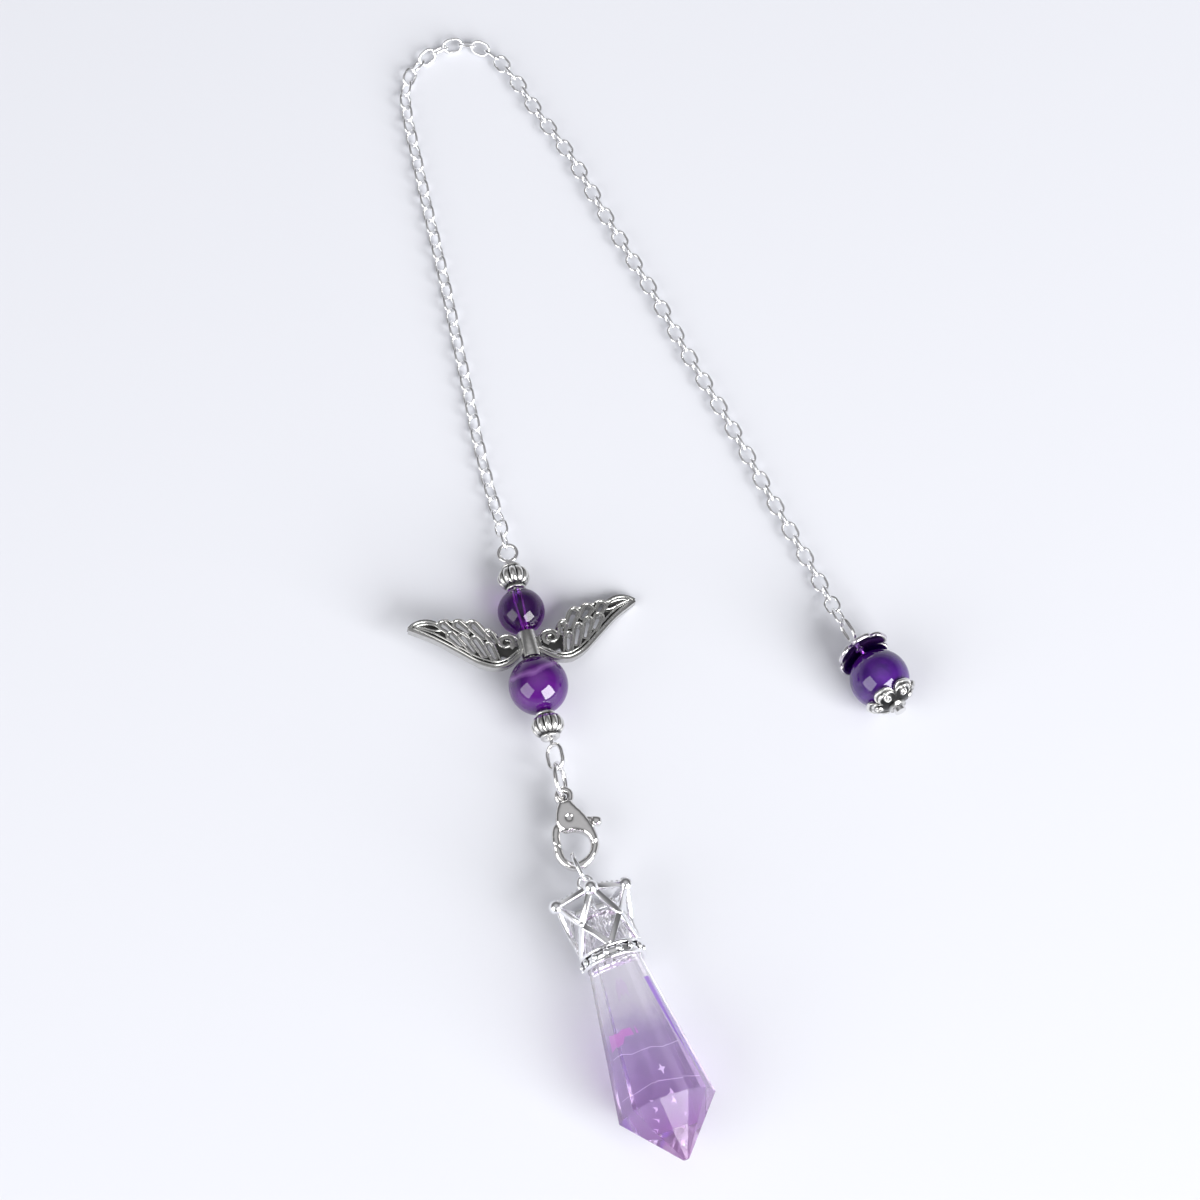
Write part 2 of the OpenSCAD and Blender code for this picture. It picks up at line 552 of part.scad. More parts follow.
// The gate ends on an arc about its pivot, so that it swings clear of the hook's tip
gate_end_r = 0.405 * clasp_l;
module clasp_outline() difference() {
    inside = curve(scaled(clasp_inside, clasp_w, clasp_l), 4);
    outside = curve(scaled(clasp_outside, clasp_w, clasp_l), 4);
    neck = curve(scaled(clasp_neck, clasp_w, clasp_l), 3);
    cheek = [for (a = [200:10:250]) lever_pivot + cheek_r * [cos(a), sin(a)]];
    polygon(concat(neck, cheek, inside, outside));
    intersection() {
        translate(lever_pivot) circle(r = gate_end_r + lever_fit);
        translate([-clasp_w, -0.8 * clasp_l]) square([0.8 * clasp_w, 0.3 * clasp_l]);
    }
}

module clasp_body() color("lightgray") aim(clasp_origin, clasp_heading, clasp_slope) laid() difference() {
    translate([0, 0, -clasp_t / 2]) linear_extrude(clasp_t) difference() {
        union() {
            clasp_outline();
            circle(d = clasp_ring_d);
        }
        circle(d = clasp_ring_bore);
    }
    // Slot that the lever swings in, and the rivet's bore
    slot_t = lever_t + 2 * lever_fit;
    translate([-clasp_w, -0.49 * clasp_l, -slot_t / 2]) cube([2 * clasp_w, 0.3 * clasp_l, slot_t]);
    translate([lever_pivot[0], lever_pivot[1], 0])
        cylinder(h = clasp_t + 1, d = rivet_d + 2 * rivet_fit, center = true);
    // The end ring and the hook are thinner than the body
    for (side = [-1, 1]) {
        translate([-clasp_w, -1.1 * clasp_l, side > 0 ? gate_t / 2 : -clasp_t])
            cube([2 * clasp_w, 0.42 * clasp_l, clasp_t - gate_t / 2]);
        translate([-clasp_w, -0.09 * clasp_l, side > 0 ? lever_t / 2 : -clasp_t])
            cube([2 * clasp_w, 0.3 * clasp_l, clasp_t - lever_t / 2]);
    }
}

module clasp_rivet() color("gray") aim(clasp_origin, clasp_heading, clasp_slope) laid()
    translate([lever_pivot[0], lever_pivot[1], 0]) cylinder(h = clasp_t, d = rivet_d, center = true);

module gate_outline(gate) intersection() {
    polygon(ribbon(gate, gate_w / 2));
    translate(lever_pivot) circle(r = gate_end_r);
}

module clasp_lever() color("darkgray") aim(clasp_origin, clasp_heading, clasp_slope) laid() difference() {
    gate = curve(scaled(lever_gate, clasp_w, clasp_l), 5);
    trigger = curve(scaled(lever_trigger, clasp_w, clasp_l), 4);
    union() {
        translate([0, 0, -lever_t / 2]) linear_extrude(lever_t) {
            gate_outline(gate);
            polygon(ribbon(trigger, gate_w / 2));
            translate(lever_pivot) circle(r = 0.16 * clasp_w);
        }
        translate([0, 0, -gate_t / 2]) linear_extrude(gate_t) difference() {
            union() {
                gate_outline(gate);
                polygon(ribbon(trigger, gate_w * 0.55));
            }
            translate(lever_pivot) circle(r = cheek_r + 0.15);
            translate(lever_pivot) intersection() {
                circle(r = 0.54 * clasp_w);
                translate([0, -clasp_l / 2]) square([clasp_w, clasp_l]);
            }
        }
    }
    translate([lever_pivot[0], lever_pivot[1], 0])
        cylinder(h = clasp_t, d = rivet_d + 2 * rivet_fit, center = true);
}

// Crown cap: +Z runs from its balls to its band, and angle 0 is its upper side
function crown_at(angle, r, s) = [r * cos(angle), -r * sin(angle), s];
rail_d = 0.6;
crown_joint_d = crown_bar * 1.5;
crown_bar_in = crown_bar * 0.2;
band_top_s = crown_h - crown_band_h;
foot_r = crown_band_d / 2 - rail_d / 2;
band_wall_r = foot_r - rail_d / 6;
side_s = 0.41 * crown_h;
foot_s = band_top_s + rail_d * 0.3;
bar_foot_r = foot_r - rail_d * 0.17;
// Sides of the crown's balls, joints, rim grains and band beads
ball_sides = 12;
joint_sides = 10;
grain_sides = 6;

// A flat bar between two places on the crown, its face turned outwards
module crown_bar_at(p, q) {
    along = unit(q - p);
    across = unit(cross(along, [p[0] + q[0], p[1] + q[1], 0]));
    out = cross(across, along);
    multmatrix([[along[0], across[0], out[0], p[0]], [along[1], across[1], out[1], p[1]],
        [along[2], across[2], out[2], p[2]], [0, 0, 0, 1]])
        translate([crown_bar_in, -crown_bar / 2, -crown_bar_t / 2])
            cube([norm(q - p) - 2 * crown_bar_in, crown_bar, crown_bar_t]);
}

module crown() color("whitesmoke") aim(crown_origin, pendant_heading, pendant_slope) {
    for (i = [0:crown_points - 1]) {
        a = i * point_step;
        ball = crown_at(a, crown_ball_r, 0);
        next = crown_at(a + point_step, crown_ball_r, 0);
        side = crown_at(a + point_step / 2, crown_side_r, side_s);
        foot = crown_at(a, bar_foot_r, foot_s);
        next_foot = crown_at(a + point_step, bar_foot_r, foot_s);
        translate(ball) sphere(d = crown_ball_d, $fn = ball_sides);
        translate(side) sphere(d = crown_joint_d, $fn = joint_sides);
        crown_bar_at(ball, next);
        crown_bar_at(ball, side);
        crown_bar_at(side, next);
        crown_bar_at(foot, side);
        crown_bar_at(side, next_foot);
        for (j = [1:rim_dots])
            translate(ball + (next - ball) * (j + 0.5) / (rim_dots + 2) - [0, 0, crown_bar / 2])
                sphere(d = rim_dot_d, $fn = grain_sides);
    }
    for (s = [band_top_s + rail_d / 2, crown_h - rail_d / 2])
        translate([0, 0, s]) rotate_extrude() translate([foot_r, 0]) circle(d = rail_d);
    translate([0, 0, band_top_s + rail_d / 3]) rotate_extrude()
        translate([band_wall_r - crown_wall, 0]) square([crown_wall, crown_band_h - rail_d * 2 / 3]);
    for (i = [0:band_beads - 1])
        translate(crown_at((i + 0.5) * 360 / band_beads, foot_r, crown_h - crown_band_h / 2))
            sphere(d = band_bead_d, $fn = joint_sides);
}

// Crystal: corner rings from its hidden top to its point
crystal_neck_r = band_wall_r - crown_wall - crown_gap;
function crystal_r_at(s) = crystal_neck_r
    + (crystal_r - crystal_neck_r) * (s - crown_h) / (crystal_girdle_s - crown_h);
function corner_ring(r, s) = [for (a = crystal_corners) crown_at(a, r, s)];

module crystal() color("mediumorchid") aim(crown_origin, pendant_heading, pendant_slope) difference() {
    n = len(crystal_corners);
    top_r = crystal_r_at(crystal_top_s + crystal_bevel);
    polyhedron(concat(corner_ring(top_r - crystal_bevel, crystal_top_s),
        corner_ring(top_r, crystal_top_s + crystal_bevel), corner_ring(crystal_r, crystal_girdle_s),
        corner_ring(crystal_table_r, tip_s)),
        concat([[for (k = [n - 1:-1:0]) k]], [for (i = [0:2], k = [0:n - 1])
            [i * n + k, i * n + (k + 1) % n, (i + 1) * n + (k + 1) % n, (i + 1) * n + k]],
            [[for (k = [0:n - 1]) 3 * n + k]]), convexity = 4);
    translate([0, 0, crystal_top_s - 1]) cylinder(h = peg_depth + 1 + peg_fit, d = peg_wire + 2 * peg_fit);
}

// Eye peg in the crystal's top, hidden by the crown
module crown_peg() color("silver") aim(crown_origin, pendant_heading, pendant_slope) {
    translate([0, 0, -peg_reach + peg_eye_d / 2]) rotate([0, 0, 90]) ring(peg_eye_d, peg_wire);
    translate([0, 0, -peg_reach + peg_eye_d - peg_wire / 2])
        cylinder(h = peg_reach - peg_eye_d + peg_wire / 2 + crystal_top_s + peg_depth, d = peg_wire);
}

// The grip
module grip_pin() color("silver") aim(grip_start, grip_heading, grip_slope) {
    rotate([0, 0, 90 + grip_eye_roll]) rotate([0, 90, 0]) loop(grip_eye_l, grip_eye_w, pin_wire);
    translate([0, 0, grip_eye_r]) cylinder(h = s_pin_head - grip_eye_r + cap_hub_t / 2, d = pin_wire);
    translate([0, 0, s_pin_head]) cylinder(h = cap_hub_t, d = pin_head_d);
}

module grip_bead() color("indigo") aim(grip_start + grip_dir * s_grip_bead, grip_heading, grip_slope)
    stone_bead(grip_bead_d);

// A flower cap cast in one shell, its hub towards -Z and the centre of its dome at the origin,
// with the radius of that dome's inner face and the angle that its petals reach
function dome(r, turn, fall) = r * [sin(fall) * cos(turn), sin(fall) * sin(turn), -cos(fall)];
// Places across half a petal's sector where the shell has its columns
petal_columns = [-1, -0.95, -0.82, -0.6, -0.3, 0, 0.3, 0.6, 0.82, 0.95];
// How far the valley between two petals runs out, as a share of the reach
petal_valley = 0.5;
// Relief of a petal from hub to tip: places along it, and heights as shares of the scrolls' height
petal_relief = [[0.04, 0], [0.12, 0], [0.22, 0.9], [0.34, 1], [0.42, 0.15], [0.5, 0.05], [0.58, 0.75], [0.68, 0.8],
    [0.74, 0], [0.84, 0], [0.9, 1], [0.97, 0.9], [1, 0]];
// Places along the inner face, which is smooth
petal_inside = [1, 0.8, 0.6, 0.4, 0.2, 0];
function petal_end(u) = petal_valley + (1 - petal_valley) * sqrt(1 - u * u * u * u);

module cap(r, reach) {
    sector = 180 / cap_petals;
    out_r = r + cap_plate_t;
    hub_fall = asin(cap_hub_d / 2 / out_r);
    bore_fall = asin(cap_bore / 2 / r);
    columns = [for (i = [0:cap_petals - 1], u = petal_columns) [(2 * i + u) * sector, u]];
    corners = [for (c = columns) let (end = reach * petal_end(c[1]), lift = cap_relief * (1 - pow(abs(c[1]), 8)),
        around = [cos(c[0]), sin(c[0]), 0])
        each concat([around * cap_bore / 2 - [0, 0, r + cap_hub_t], around * cap_hub_d / 2 - [0, 0, r + cap_hub_t]],
            [for (p = petal_relief) dome(out_r + lift * p[1], c[0], hub_fall + (end - hub_fall) * p[0])],
            [for (v = petal_inside) dome(r, c[0], bore_fall + (end - bore_fall) * v)])];
    n = len(columns);
    k = len(petal_relief) + len(petal_inside) + 2;
    polyhedron(corners, [for (i = [0:n - 1], j = [0:k - 1], half = [0, 1])
        let (a = i * k, b = (i + 1) % n * k, m = (j + 1) % k)
        half == 0 ? [a + j, a + m, b + m] : [a + j, b + m, b + j]], convexity = 8);
}

module grip_cap_inner() color("silver") aim(grip_start + grip_dir * s_hub, grip_heading, grip_slope)
    rotate([0, flare_tilt, 0]) translate([0, 0, flare_r]) cap(flare_r, flare_reach);

module grip_cap_outer() color("silver") aim(grip_start + grip_dir * s_grip_bead, grip_heading, grip_slope)
    rotate([180, 0, 30]) cap(cap_dome_r, cap_reach);

translate(to_origin) chain_near();
translate(to_origin) chain_far();
translate(to_origin) wing_pin();
translate(to_origin) rib_bead_upper();
translate(to_origin) bead_small();
translate(to_origin) wing_spacer();
translate(to_origin) bead_large();
translate(to_origin) rib_bead_lower();
translate(to_origin) jump_ring();
translate(to_origin) clasp_body();
translate(to_origin) clasp_rivet();
translate(to_origin) clasp_lever();
translate(to_origin) crown_ring();
translate(to_origin) crown_peg();
translate(to_origin) crown();
translate(to_origin) crystal();
translate(to_origin) grip_pin();
translate(to_origin) grip_cap_inner();
translate(to_origin) grip_bead();
translate(to_origin) grip_cap_outer();
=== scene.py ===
import math

import bmesh
import bpy
import numpy
from mathutils import Matrix, Vector


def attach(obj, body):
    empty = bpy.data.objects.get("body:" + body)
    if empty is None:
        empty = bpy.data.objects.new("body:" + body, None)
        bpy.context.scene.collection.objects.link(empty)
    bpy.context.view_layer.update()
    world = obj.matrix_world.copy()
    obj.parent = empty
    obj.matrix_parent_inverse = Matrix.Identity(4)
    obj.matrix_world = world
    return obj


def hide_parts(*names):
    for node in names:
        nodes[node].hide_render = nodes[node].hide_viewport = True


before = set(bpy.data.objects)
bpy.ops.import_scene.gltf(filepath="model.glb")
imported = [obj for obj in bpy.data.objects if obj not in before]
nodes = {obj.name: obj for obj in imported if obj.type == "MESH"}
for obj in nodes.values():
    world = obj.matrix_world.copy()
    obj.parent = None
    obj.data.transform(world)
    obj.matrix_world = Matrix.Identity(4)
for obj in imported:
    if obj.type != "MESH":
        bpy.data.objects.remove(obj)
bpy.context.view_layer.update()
print("stage: packed pendulum loaded,", len(nodes), "nodes")

# The layout that the chain and beads were set out in, moved by this much into the part's frame, in mm
layoutShift = Vector((-7.76489, -7.34887, 0))
mm = 0.001
upward = Vector((0, 0, 1))
nodeWeld = 1e-7  # in metres, closes the seams of a loaded node
shapeWeld = 1e-4  # in mm, closes a turned shape

# The top of the crown, and the way that it and the crystal point
crownAxis = {"at": (-1.42146, -54.4609, 6.01591), "heading": -70.7, "slope": 2.52143}


# A place in the layout whose z axis has this heading and slope, in degrees
def aimFrame(at, heading, slope, roll=0.0):
    turn = Matrix.Rotation(math.radians(heading), 4, "Z") @ Matrix.Rotation(math.radians(90 - slope), 4, "Y")
    return (Matrix.Scale(mm, 4) @ Matrix.Translation(Vector(at) + layoutShift) @ turn
            @ Matrix.Rotation(math.radians(180 + roll), 4, "Z"))


def meshFrom(bm, name):
    mesh = bpy.data.meshes.new(name)
    bm.to_mesh(mesh)
    bm.free()
    return mesh


def pieceOf(mesh, name, material, body="pendulum"):
    mesh.materials.append(material)
    piece = bpy.data.objects.new(name, mesh)
    bpy.context.scene.collection.objects.link(piece)
    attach(piece, body)
    return piece


def pieceFrom(bm, name, material, place=None, smooth=True):
    if place is not None:
        bmesh.ops.transform(bm, matrix=place, verts=bm.verts)
    bmesh.ops.recalc_face_normals(bm, faces=bm.faces)
    mesh = meshFrom(bm, name)
    for poly in mesh.polygons:
        poly.use_smooth = smooth
    return pieceOf(mesh, name, material)


def nodeCopy(node):
    bm = bmesh.new()
    bm.from_mesh(nodes[node].data)
    bmesh.ops.remove_doubles(bm, verts=bm.verts, dist=nodeWeld)
    return bm


# The mesh that an object's curve or modifiers give; the object itself goes
def bakedMesh(source):
    bpy.context.scene.collection.objects.link(source)
    bpy.context.view_layer.update()
    mesh = bpy.data.meshes.new_from_object(source.evaluated_get(bpy.context.evaluated_depsgraph_get()))
    bpy.data.objects.remove(source)
    return mesh


# A closed profile of (radius, height) points turned once round the piece's own axis
def turned(profile, steps):
    bm = bmesh.new()
    verts = [bm.verts.new((r, 0, z)) for r, z in profile]
    edges = [bm.edges.new((a, b)) for a, b in zip(verts, verts[1:] + verts[:1])]
    bmesh.ops.spin(bm, geom=verts + edges, cent=(0, 0, 0), axis=upward, angle=2 * math.pi,
                   steps=steps, use_merge=True, use_duplicate=False)
    bmesh.ops.remove_doubles(bm, verts=bm.verts, dist=shapeWeld)
    return bm


# The layer "tone" is 0 in a casting's dark recesses and 1 on its worn faces
def setTone(v, paint, tone):
    shade = max(0.0, min(1.0, tone))
    v[paint] = (shade, shade, shade, 1)


def paintTone(bm, toneAt):
    paint = bm.verts.layers.float_color.new("tone")
    for v in bm.verts:
        setTone(v, paint, toneAt(v.co))


# Materials
def newMaterial(name):
    mat = bpy.data.materials.new(name)
    mat.use_nodes = True
    shader = mat.node_tree.nodes["Principled BSDF"]
    return mat, mat.node_tree.nodes, mat.node_tree.links, shader


def setInputs(part, values):
    for label, value in values.items():
        part.inputs[label].default_value = value


def mathPart(parts, operation, kind="ShaderNodeMath"):
    part = parts.new(kind)
    part.operation = operation
    return part


def colourMix(parts):
    mix = parts.new("ShaderNodeMix")
    mix.data_type = "RGBA"
    return {"share": mix.inputs[0], "first": mix.inputs[6], "second": mix.inputs[7], "result": mix.outputs[2]}


def setStops(ramp, stops):
    elements = ramp.color_ramp.elements
    while len(elements) < len(stops):
        elements.new(0.5)
    for element, (position, colour) in zip(elements, stops):
        element.position = position
        element.color = (*colour, 1)


# Two nodes: the distance along an axis from start, and the place measured from start
def distanceAlong(parts, links, place, start, axis):
    shift = parts.new("ShaderNodeMapping")
    setInputs(shift, {"Location": -start})
    links.new(place.outputs["Object"], shift.inputs["Vector"])
    along = mathPart(parts, "DOT_PRODUCT", "ShaderNodeVectorMath")
    along.inputs[1].default_value = axis
    links.new(shift.outputs["Vector"], along.inputs[0])
    return along, shift


wearLook = {"tarnishDetail": 4, "grainScale": 6000, "bumpDistance": 0.00002}


def buildMetalWear():
    group = bpy.data.node_groups.new("metalWear", "ShaderNodeTree")
    for label, kind in (("Bright", "NodeSocketColor"), ("Dull", "NodeSocketColor"),
                        ("Scale", "NodeSocketFloat"), ("Rough", "NodeSocketFloat"),
                        ("Rough Spread", "NodeSocketFloat"), ("Grain", "NodeSocketFloat")):
        group.interface.new_socket(name=label, in_out="INPUT", socket_type=kind)
    for label, kind in (("Color", "NodeSocketColor"), ("Roughness", "NodeSocketFloat"),
                        ("Height", "NodeSocketFloat")):
        group.interface.new_socket(name=label, in_out="OUTPUT", socket_type=kind)
    parts, join = group.nodes, group.links.new
    inside, outside = parts.new("NodeGroupInput"), parts.new("NodeGroupOutput")
    place = parts.new("ShaderNodeTexCoord")
    tarnish = parts.new("ShaderNodeTexNoise")
    setInputs(tarnish, {"Detail": wearLook["tarnishDetail"]})
    join(place.outputs["Object"], tarnish.inputs["Vector"])
    join(inside.outputs["Scale"], tarnish.inputs["Scale"])
    mix = colourMix(parts)
    join(tarnish.outputs["Fac"], mix["share"])
    join(inside.outputs["Bright"], mix["first"])
    join(inside.outputs["Dull"], mix["second"])
    join(mix["result"], outside.inputs["Color"])
    spread = mathPart(parts, "MULTIPLY_ADD")
    join(tarnish.outputs["Fac"], spread.inputs[0])
    join(inside.outputs["Rough Spread"], spread.inputs[1])
    join(inside.outputs["Rough"], spread.inputs[2])
    join(spread.outputs[0], outside.inputs["Roughness"])
    fine = parts.new("ShaderNodeTexNoise")
    setInputs(fine, {"Scale": wearLook["grainScale"]})
    join(place.outputs["Object"], fine.inputs["Vector"])
    lift = mathPart(parts, "MULTIPLY")
    join(fine.outputs["Fac"], lift.inputs[0])
    join(inside.outputs["Grain"], lift.inputs[1])
    join(lift.outputs[0], outside.inputs["Height"])
    return group


metalWear = buildMetalWear()


def wornMetal(name, look):
    mat, parts, links, shader = newMaterial(name)
    wear = parts.new("ShaderNodeGroup")
    wear.node_tree = metalWear
    setInputs(wear, {"Bright": (*look["bright"], 1), "Dull": (*look["dull"], 1), "Rough": look["rough"],
                     "Rough Spread": look["spread"], "Grain": look["grain"], "Scale": look["scale"]})
    bump = parts.new("ShaderNodeBump")
    setInputs(bump, {"Strength": look["bump"], "Distance": wearLook["bumpDistance"]})
    setInputs(shader, {"Metallic": 1.0})
    links.new(wear.outputs["Roughness"], shader.inputs["Roughness"])
    links.new(wear.outputs["Height"], bump.inputs["Height"])
    links.new(bump.outputs["Normal"], shader.inputs["Normal"])
    return mat, parts, links, wear.outputs["Color"], shader.inputs["Base Color"]


# What a plain metal has where its own line says nothing else
metalLook = {"spread": 0.1, "grain": 0.3, "scale": 900, "bump": 0.25}


def metal(name, bright, dull, rough, **changes):
    look = {**metalLook, "bright": bright, "dull": dull, "rough": rough, **changes}
    mat, parts, links, wearColour, baseColour = wornMetal(name, look)
    links.new(wearColour, baseColour)
    return mat


chainSilver = metal("chainSilver", (0.98, 0.98, 0.98), (0.92, 0.92, 0.93), 0.08, spread=0.12)
pinSilver = metal("pinSilver", (0.86, 0.86, 0.87), (0.72, 0.71, 0.70), 0.08)
claspSilver = metal("claspSilver", (0.84, 0.83, 0.82), (0.74, 0.73, 0.72), 0.05, spread=0.06, grain=0.2)
crownSilver = metal("crownSilver", (0.98, 0.98, 0.99), (0.92, 0.92, 0.94), 0.09)
brightCast = metal("brightCast", (0.84, 0.84, 0.82), (0.58, 0.58, 0.56), 0.12, spread=0.2, grain=0.8,
                   scale=2500)
antiqueSilver = metal("antiqueSilver", (0.62, 0.62, 0.60), (0.30, 0.30, 0.29), 0.25, spread=0.2, grain=1.0,
                      scale=2500)

# A casting's worn faces, and the deep colour of its recesses
castLook = {"bright": (0.94, 0.93, 0.91), "dull": (0.62, 0.62, 0.60), "deep": (0.03, 0.03, 0.03),
            "rough": 0.14, "spread": 0.16, "grain": 0.8, "scale": 1800, "bump": 0.3}


def castMetal(name, **changes):
    look = {**castLook, **changes}
    mat, parts, links, wearColour, baseColour = wornMetal(name, look)
    relief = parts.new("ShaderNodeVertexColor")
    relief.layer_name = "tone"
    blend = colourMix(parts)
    blend["first"].default_value = (*look["deep"], 1)
    links.new(relief.outputs["Color"], blend["share"])
    links.new(wearColour, blend["second"])
    links.new(blend["result"], baseColour)
    return mat


castSilver = castMetal("castSilver")
crownCast = castMetal("crownCast", bright=(0.98, 0.98, 0.99), dull=(0.92, 0.92, 0.94),
                      deep=(0.12, 0.12, 0.13), rough=0.07)
capSilver = castMetal("capSilver", deep=(0.15, 0.02, 0.32))  # violet, as if the bead showed through

stoneLook = {"detail": 5, "distortion": 0.6, "darkTo": 0.35, "lightFrom": 0.68, "specular": 0.8, "ior": 1.54}
# A pale layer across a stone, in mm: its middle, the way across it, its half width and how far it wanders
paleBand = {"at": (-18.5, -23.3, 8.5), "across": (-0.35, 0.87, 0.35), "wide": 1.6, "wander": 1.3,
            "colour": (0.27, 0.11, 0.40), "fade": ((0.30, (0, 0, 0)), (0.5, (1, 1, 1)), (0.70, (0, 0, 0)))}


def bandedTint(parts, links, place, clouds, tint, band):
    across, _ = distanceAlong(parts, links, place, Vector(band["at"]) * mm,
                              Vector(band["across"]).normalized() / mm)
    wander = mathPart(parts, "MULTIPLY_ADD")
    wander.inputs[1].default_value = band["wander"]
    wander.inputs[2].default_value = -band["wander"] / 2
    links.new(clouds.outputs["Fac"], wander.inputs[0])
    total = mathPart(parts, "ADD")
    links.new(wander.outputs[0], total.inputs[0])
    links.new(across.outputs["Value"], total.inputs[1])
    spread = parts.new("ShaderNodeMapRange")
    setInputs(spread, {"From Min": -band["wide"], "From Max": band["wide"]})
    links.new(total.outputs[0], spread.inputs["Value"])
    fade = parts.new("ShaderNodeValToRGB")
    setStops(fade, band["fade"])
    links.new(spread.outputs["Result"], fade.inputs["Fac"])
    mix = colourMix(parts)
    mix["second"].default_value = (*band["colour"], 1)
    links.new(fade.outputs["Color"], mix["share"])
    links.new(tint, mix["first"])
    return mix["result"]


def stone(name, light, dark, scale, transmission, rough, band=None):
    mat, parts, links, shader = newMaterial(name)
    place = parts.new("ShaderNodeTexCoord")
    clouds = parts.new("ShaderNodeTexNoise")
    setInputs(clouds, {"Scale": scale, "Detail": stoneLook["detail"], "Distortion": stoneLook["distortion"]})
    links.new(place.outputs["Object"], clouds.inputs["Vector"])
    ramp = parts.new("ShaderNodeValToRGB")
    setStops(ramp, ((stoneLook["darkTo"], dark), (stoneLook["lightFrom"], light)))
    links.new(clouds.outputs["Fac"], ramp.inputs["Fac"])
    tint = ramp.outputs["Color"]
    if band is not None:
        tint = bandedTint(parts, links, place, clouds, tint, band)
    links.new(tint, shader.inputs["Base Color"])
    setInputs(shader, {"Roughness": rough, "Transmission Weight": transmission,
                       "Specular IOR Level": stoneLook["specular"], "IOR": stoneLook["ior"]})
    return mat


deepAmethyst = stone("deepAmethyst", light=(0.30, 0.04, 0.46), dark=(0.12, 0.01, 0.24), scale=260,
                     transmission=1.0, rough=0.01)
milkyAmethyst = stone("milkyAmethyst", light=(0.105, 0.005, 0.20), dark=(0.055, 0.002, 0.13), scale=200,
                      transmission=0.15, rough=0.02, band=paleBand)
gripAmethyst = stone("gripAmethyst", light=(0.085, 0.010, 0.24), dark=(0.04, 0.003, 0.14), scale=300,
                     transmission=0.15, rough=0.02)

# Shades at shares of the length, from the crown's top to the crystal's tip
gemLook = {"length": 44.8, "sway": 0.16, "scale": 180, "detail": 6, "distortion": 1.5, "transmission": 0.9,
           "ior": 1.36,
           "shades": ((0.0, (0.99, 0.98, 1.0)), (0.44, (0.96, 0.94, 0.99)), (0.54, (0.70, 0.61, 0.82)),
                      (0.80, (0.72, 0.55, 0.85)), (0.92, (0.78, 0.42, 0.90)), (1.0, (0.84, 0.34, 0.94)))}


def gemMaterial():
    mat, parts, links, shader = newMaterial("clearAmethyst")
    heading, slope = math.radians(crownAxis["heading"]), math.radians(crownAxis["slope"])
    axis = Vector((math.cos(heading) * math.cos(slope), math.sin(heading) * math.cos(slope), math.sin(slope)))
    place = parts.new("ShaderNodeTexCoord")
    along, shift = distanceAlong(parts, links, place, (Vector(crownAxis["at"]) + layoutShift) * mm,
                                 axis / (gemLook["length"] * mm))
    clouds = parts.new("ShaderNodeTexNoise")
    setInputs(clouds, {"Scale": gemLook["scale"], "Detail": gemLook["detail"],
                       "Distortion": gemLook["distortion"]})
    links.new(shift.outputs["Vector"], clouds.inputs["Vector"])
    lower = mathPart(parts, "SUBTRACT")
    lower.inputs[1].default_value = gemLook["sway"] / 2
    links.new(along.outputs["Value"], lower.inputs[0])
    sway = mathPart(parts, "MULTIPLY_ADD")
    sway.inputs[1].default_value = gemLook["sway"]
    links.new(clouds.outputs["Fac"], sway.inputs[0])
    links.new(lower.outputs[0], sway.inputs[2])
    ramp = parts.new("ShaderNodeValToRGB")
    setStops(ramp, gemLook["shades"])
    links.new(sway.outputs[0], ramp.inputs["Fac"])
    links.new(ramp.outputs["Color"], shader.inputs["Base Color"])
    setInputs(shader, {"Roughness": 0.0, "Transmission Weight": gemLook["transmission"],
                       "IOR": gemLook["ior"]})
    return mat


clearAmethyst = gemMaterial()
print("stage: materials made")

nodeFinish = {
    "wing_pin": pinSilver, "grip_pin": pinSilver, "jump_ring": pinSilver, "crown_ring": crownSilver,
    "crown_peg": crownSilver, "crown": crownSilver, "clasp_body": claspSilver, "clasp_lever": claspSilver,
    "clasp_rivet": claspSilver, "rib_bead_upper": antiqueSilver, "rib_bead_lower": antiqueSilver,
    "wing_spacer": antiqueSilver, "grip_cap_inner": antiqueSilver, "grip_cap_outer": antiqueSilver,
    "bead_small": deepAmethyst, "bead_large": milkyAmethyst, "grip_bead": gripAmethyst,
    "crystal": clearAmethyst, "chain_near": chainSilver, "chain_far": chainSilver,
}
for name, finish in nodeFinish.items():
    for slot in nodes[name].material_slots:
        slot.material = finish
    if not nodes[name].material_slots:
        nodes[name].data.materials.append(finish)

# The angel: where its pin starts and points, and each piece's distance along it
angelPin = {"start": (-15.7154, 7.2906, 3.1933), "heading": -77.5, "slope": 4.09019, "wingRoll": -9.79839,
            "ribUpper": 4.85, "small": 11.31, "wings": 17.82, "large": 25.33, "ribLower": 32.79}


def onPin(s, roll=0.0):
    along = aimFrame(angelPin["start"], angelPin["heading"], angelPin["slope"], roll)
    return along @ Matrix.Translation((0, 0, s))


# Ribbed spacer beads: a level is a share of half the height, from the middle out, and the curves of the
# barrel and its grooves run out a little past the barrel's last row
ribLook = {"across": 5.6, "high": 4.6, "flange": 3.3, "bore": 1.2, "lobes": 12, "groove": 0.5, "steps": 192,
           "edge": 0.12, "edgeHigh": 0.1, "neckIn": 0.2, "barrelIn": 0.3, "barrelRows": 12,
           "barrelLevel": 0.7, "neckLevel": 0.76, "flangeLevel": 0.84, "barrelRunOut": 0.72,
           "grooveRunOut": 0.74, "levelSlack": 0.01}
ribTones = {"flangeFrom": 0.82, "flange": 0.95, "neck": 0.03, "darkTo": 0.4, "fade": 0.25}


def fallOff(level, runOut):
    return math.sqrt(max(0.0, 1 - (level / runOut) ** 2))


def ribLobe(co):
    return abs(math.cos(math.atan2(co.y, co.x) * ribLook["lobes"] / 2)) ** 0.5


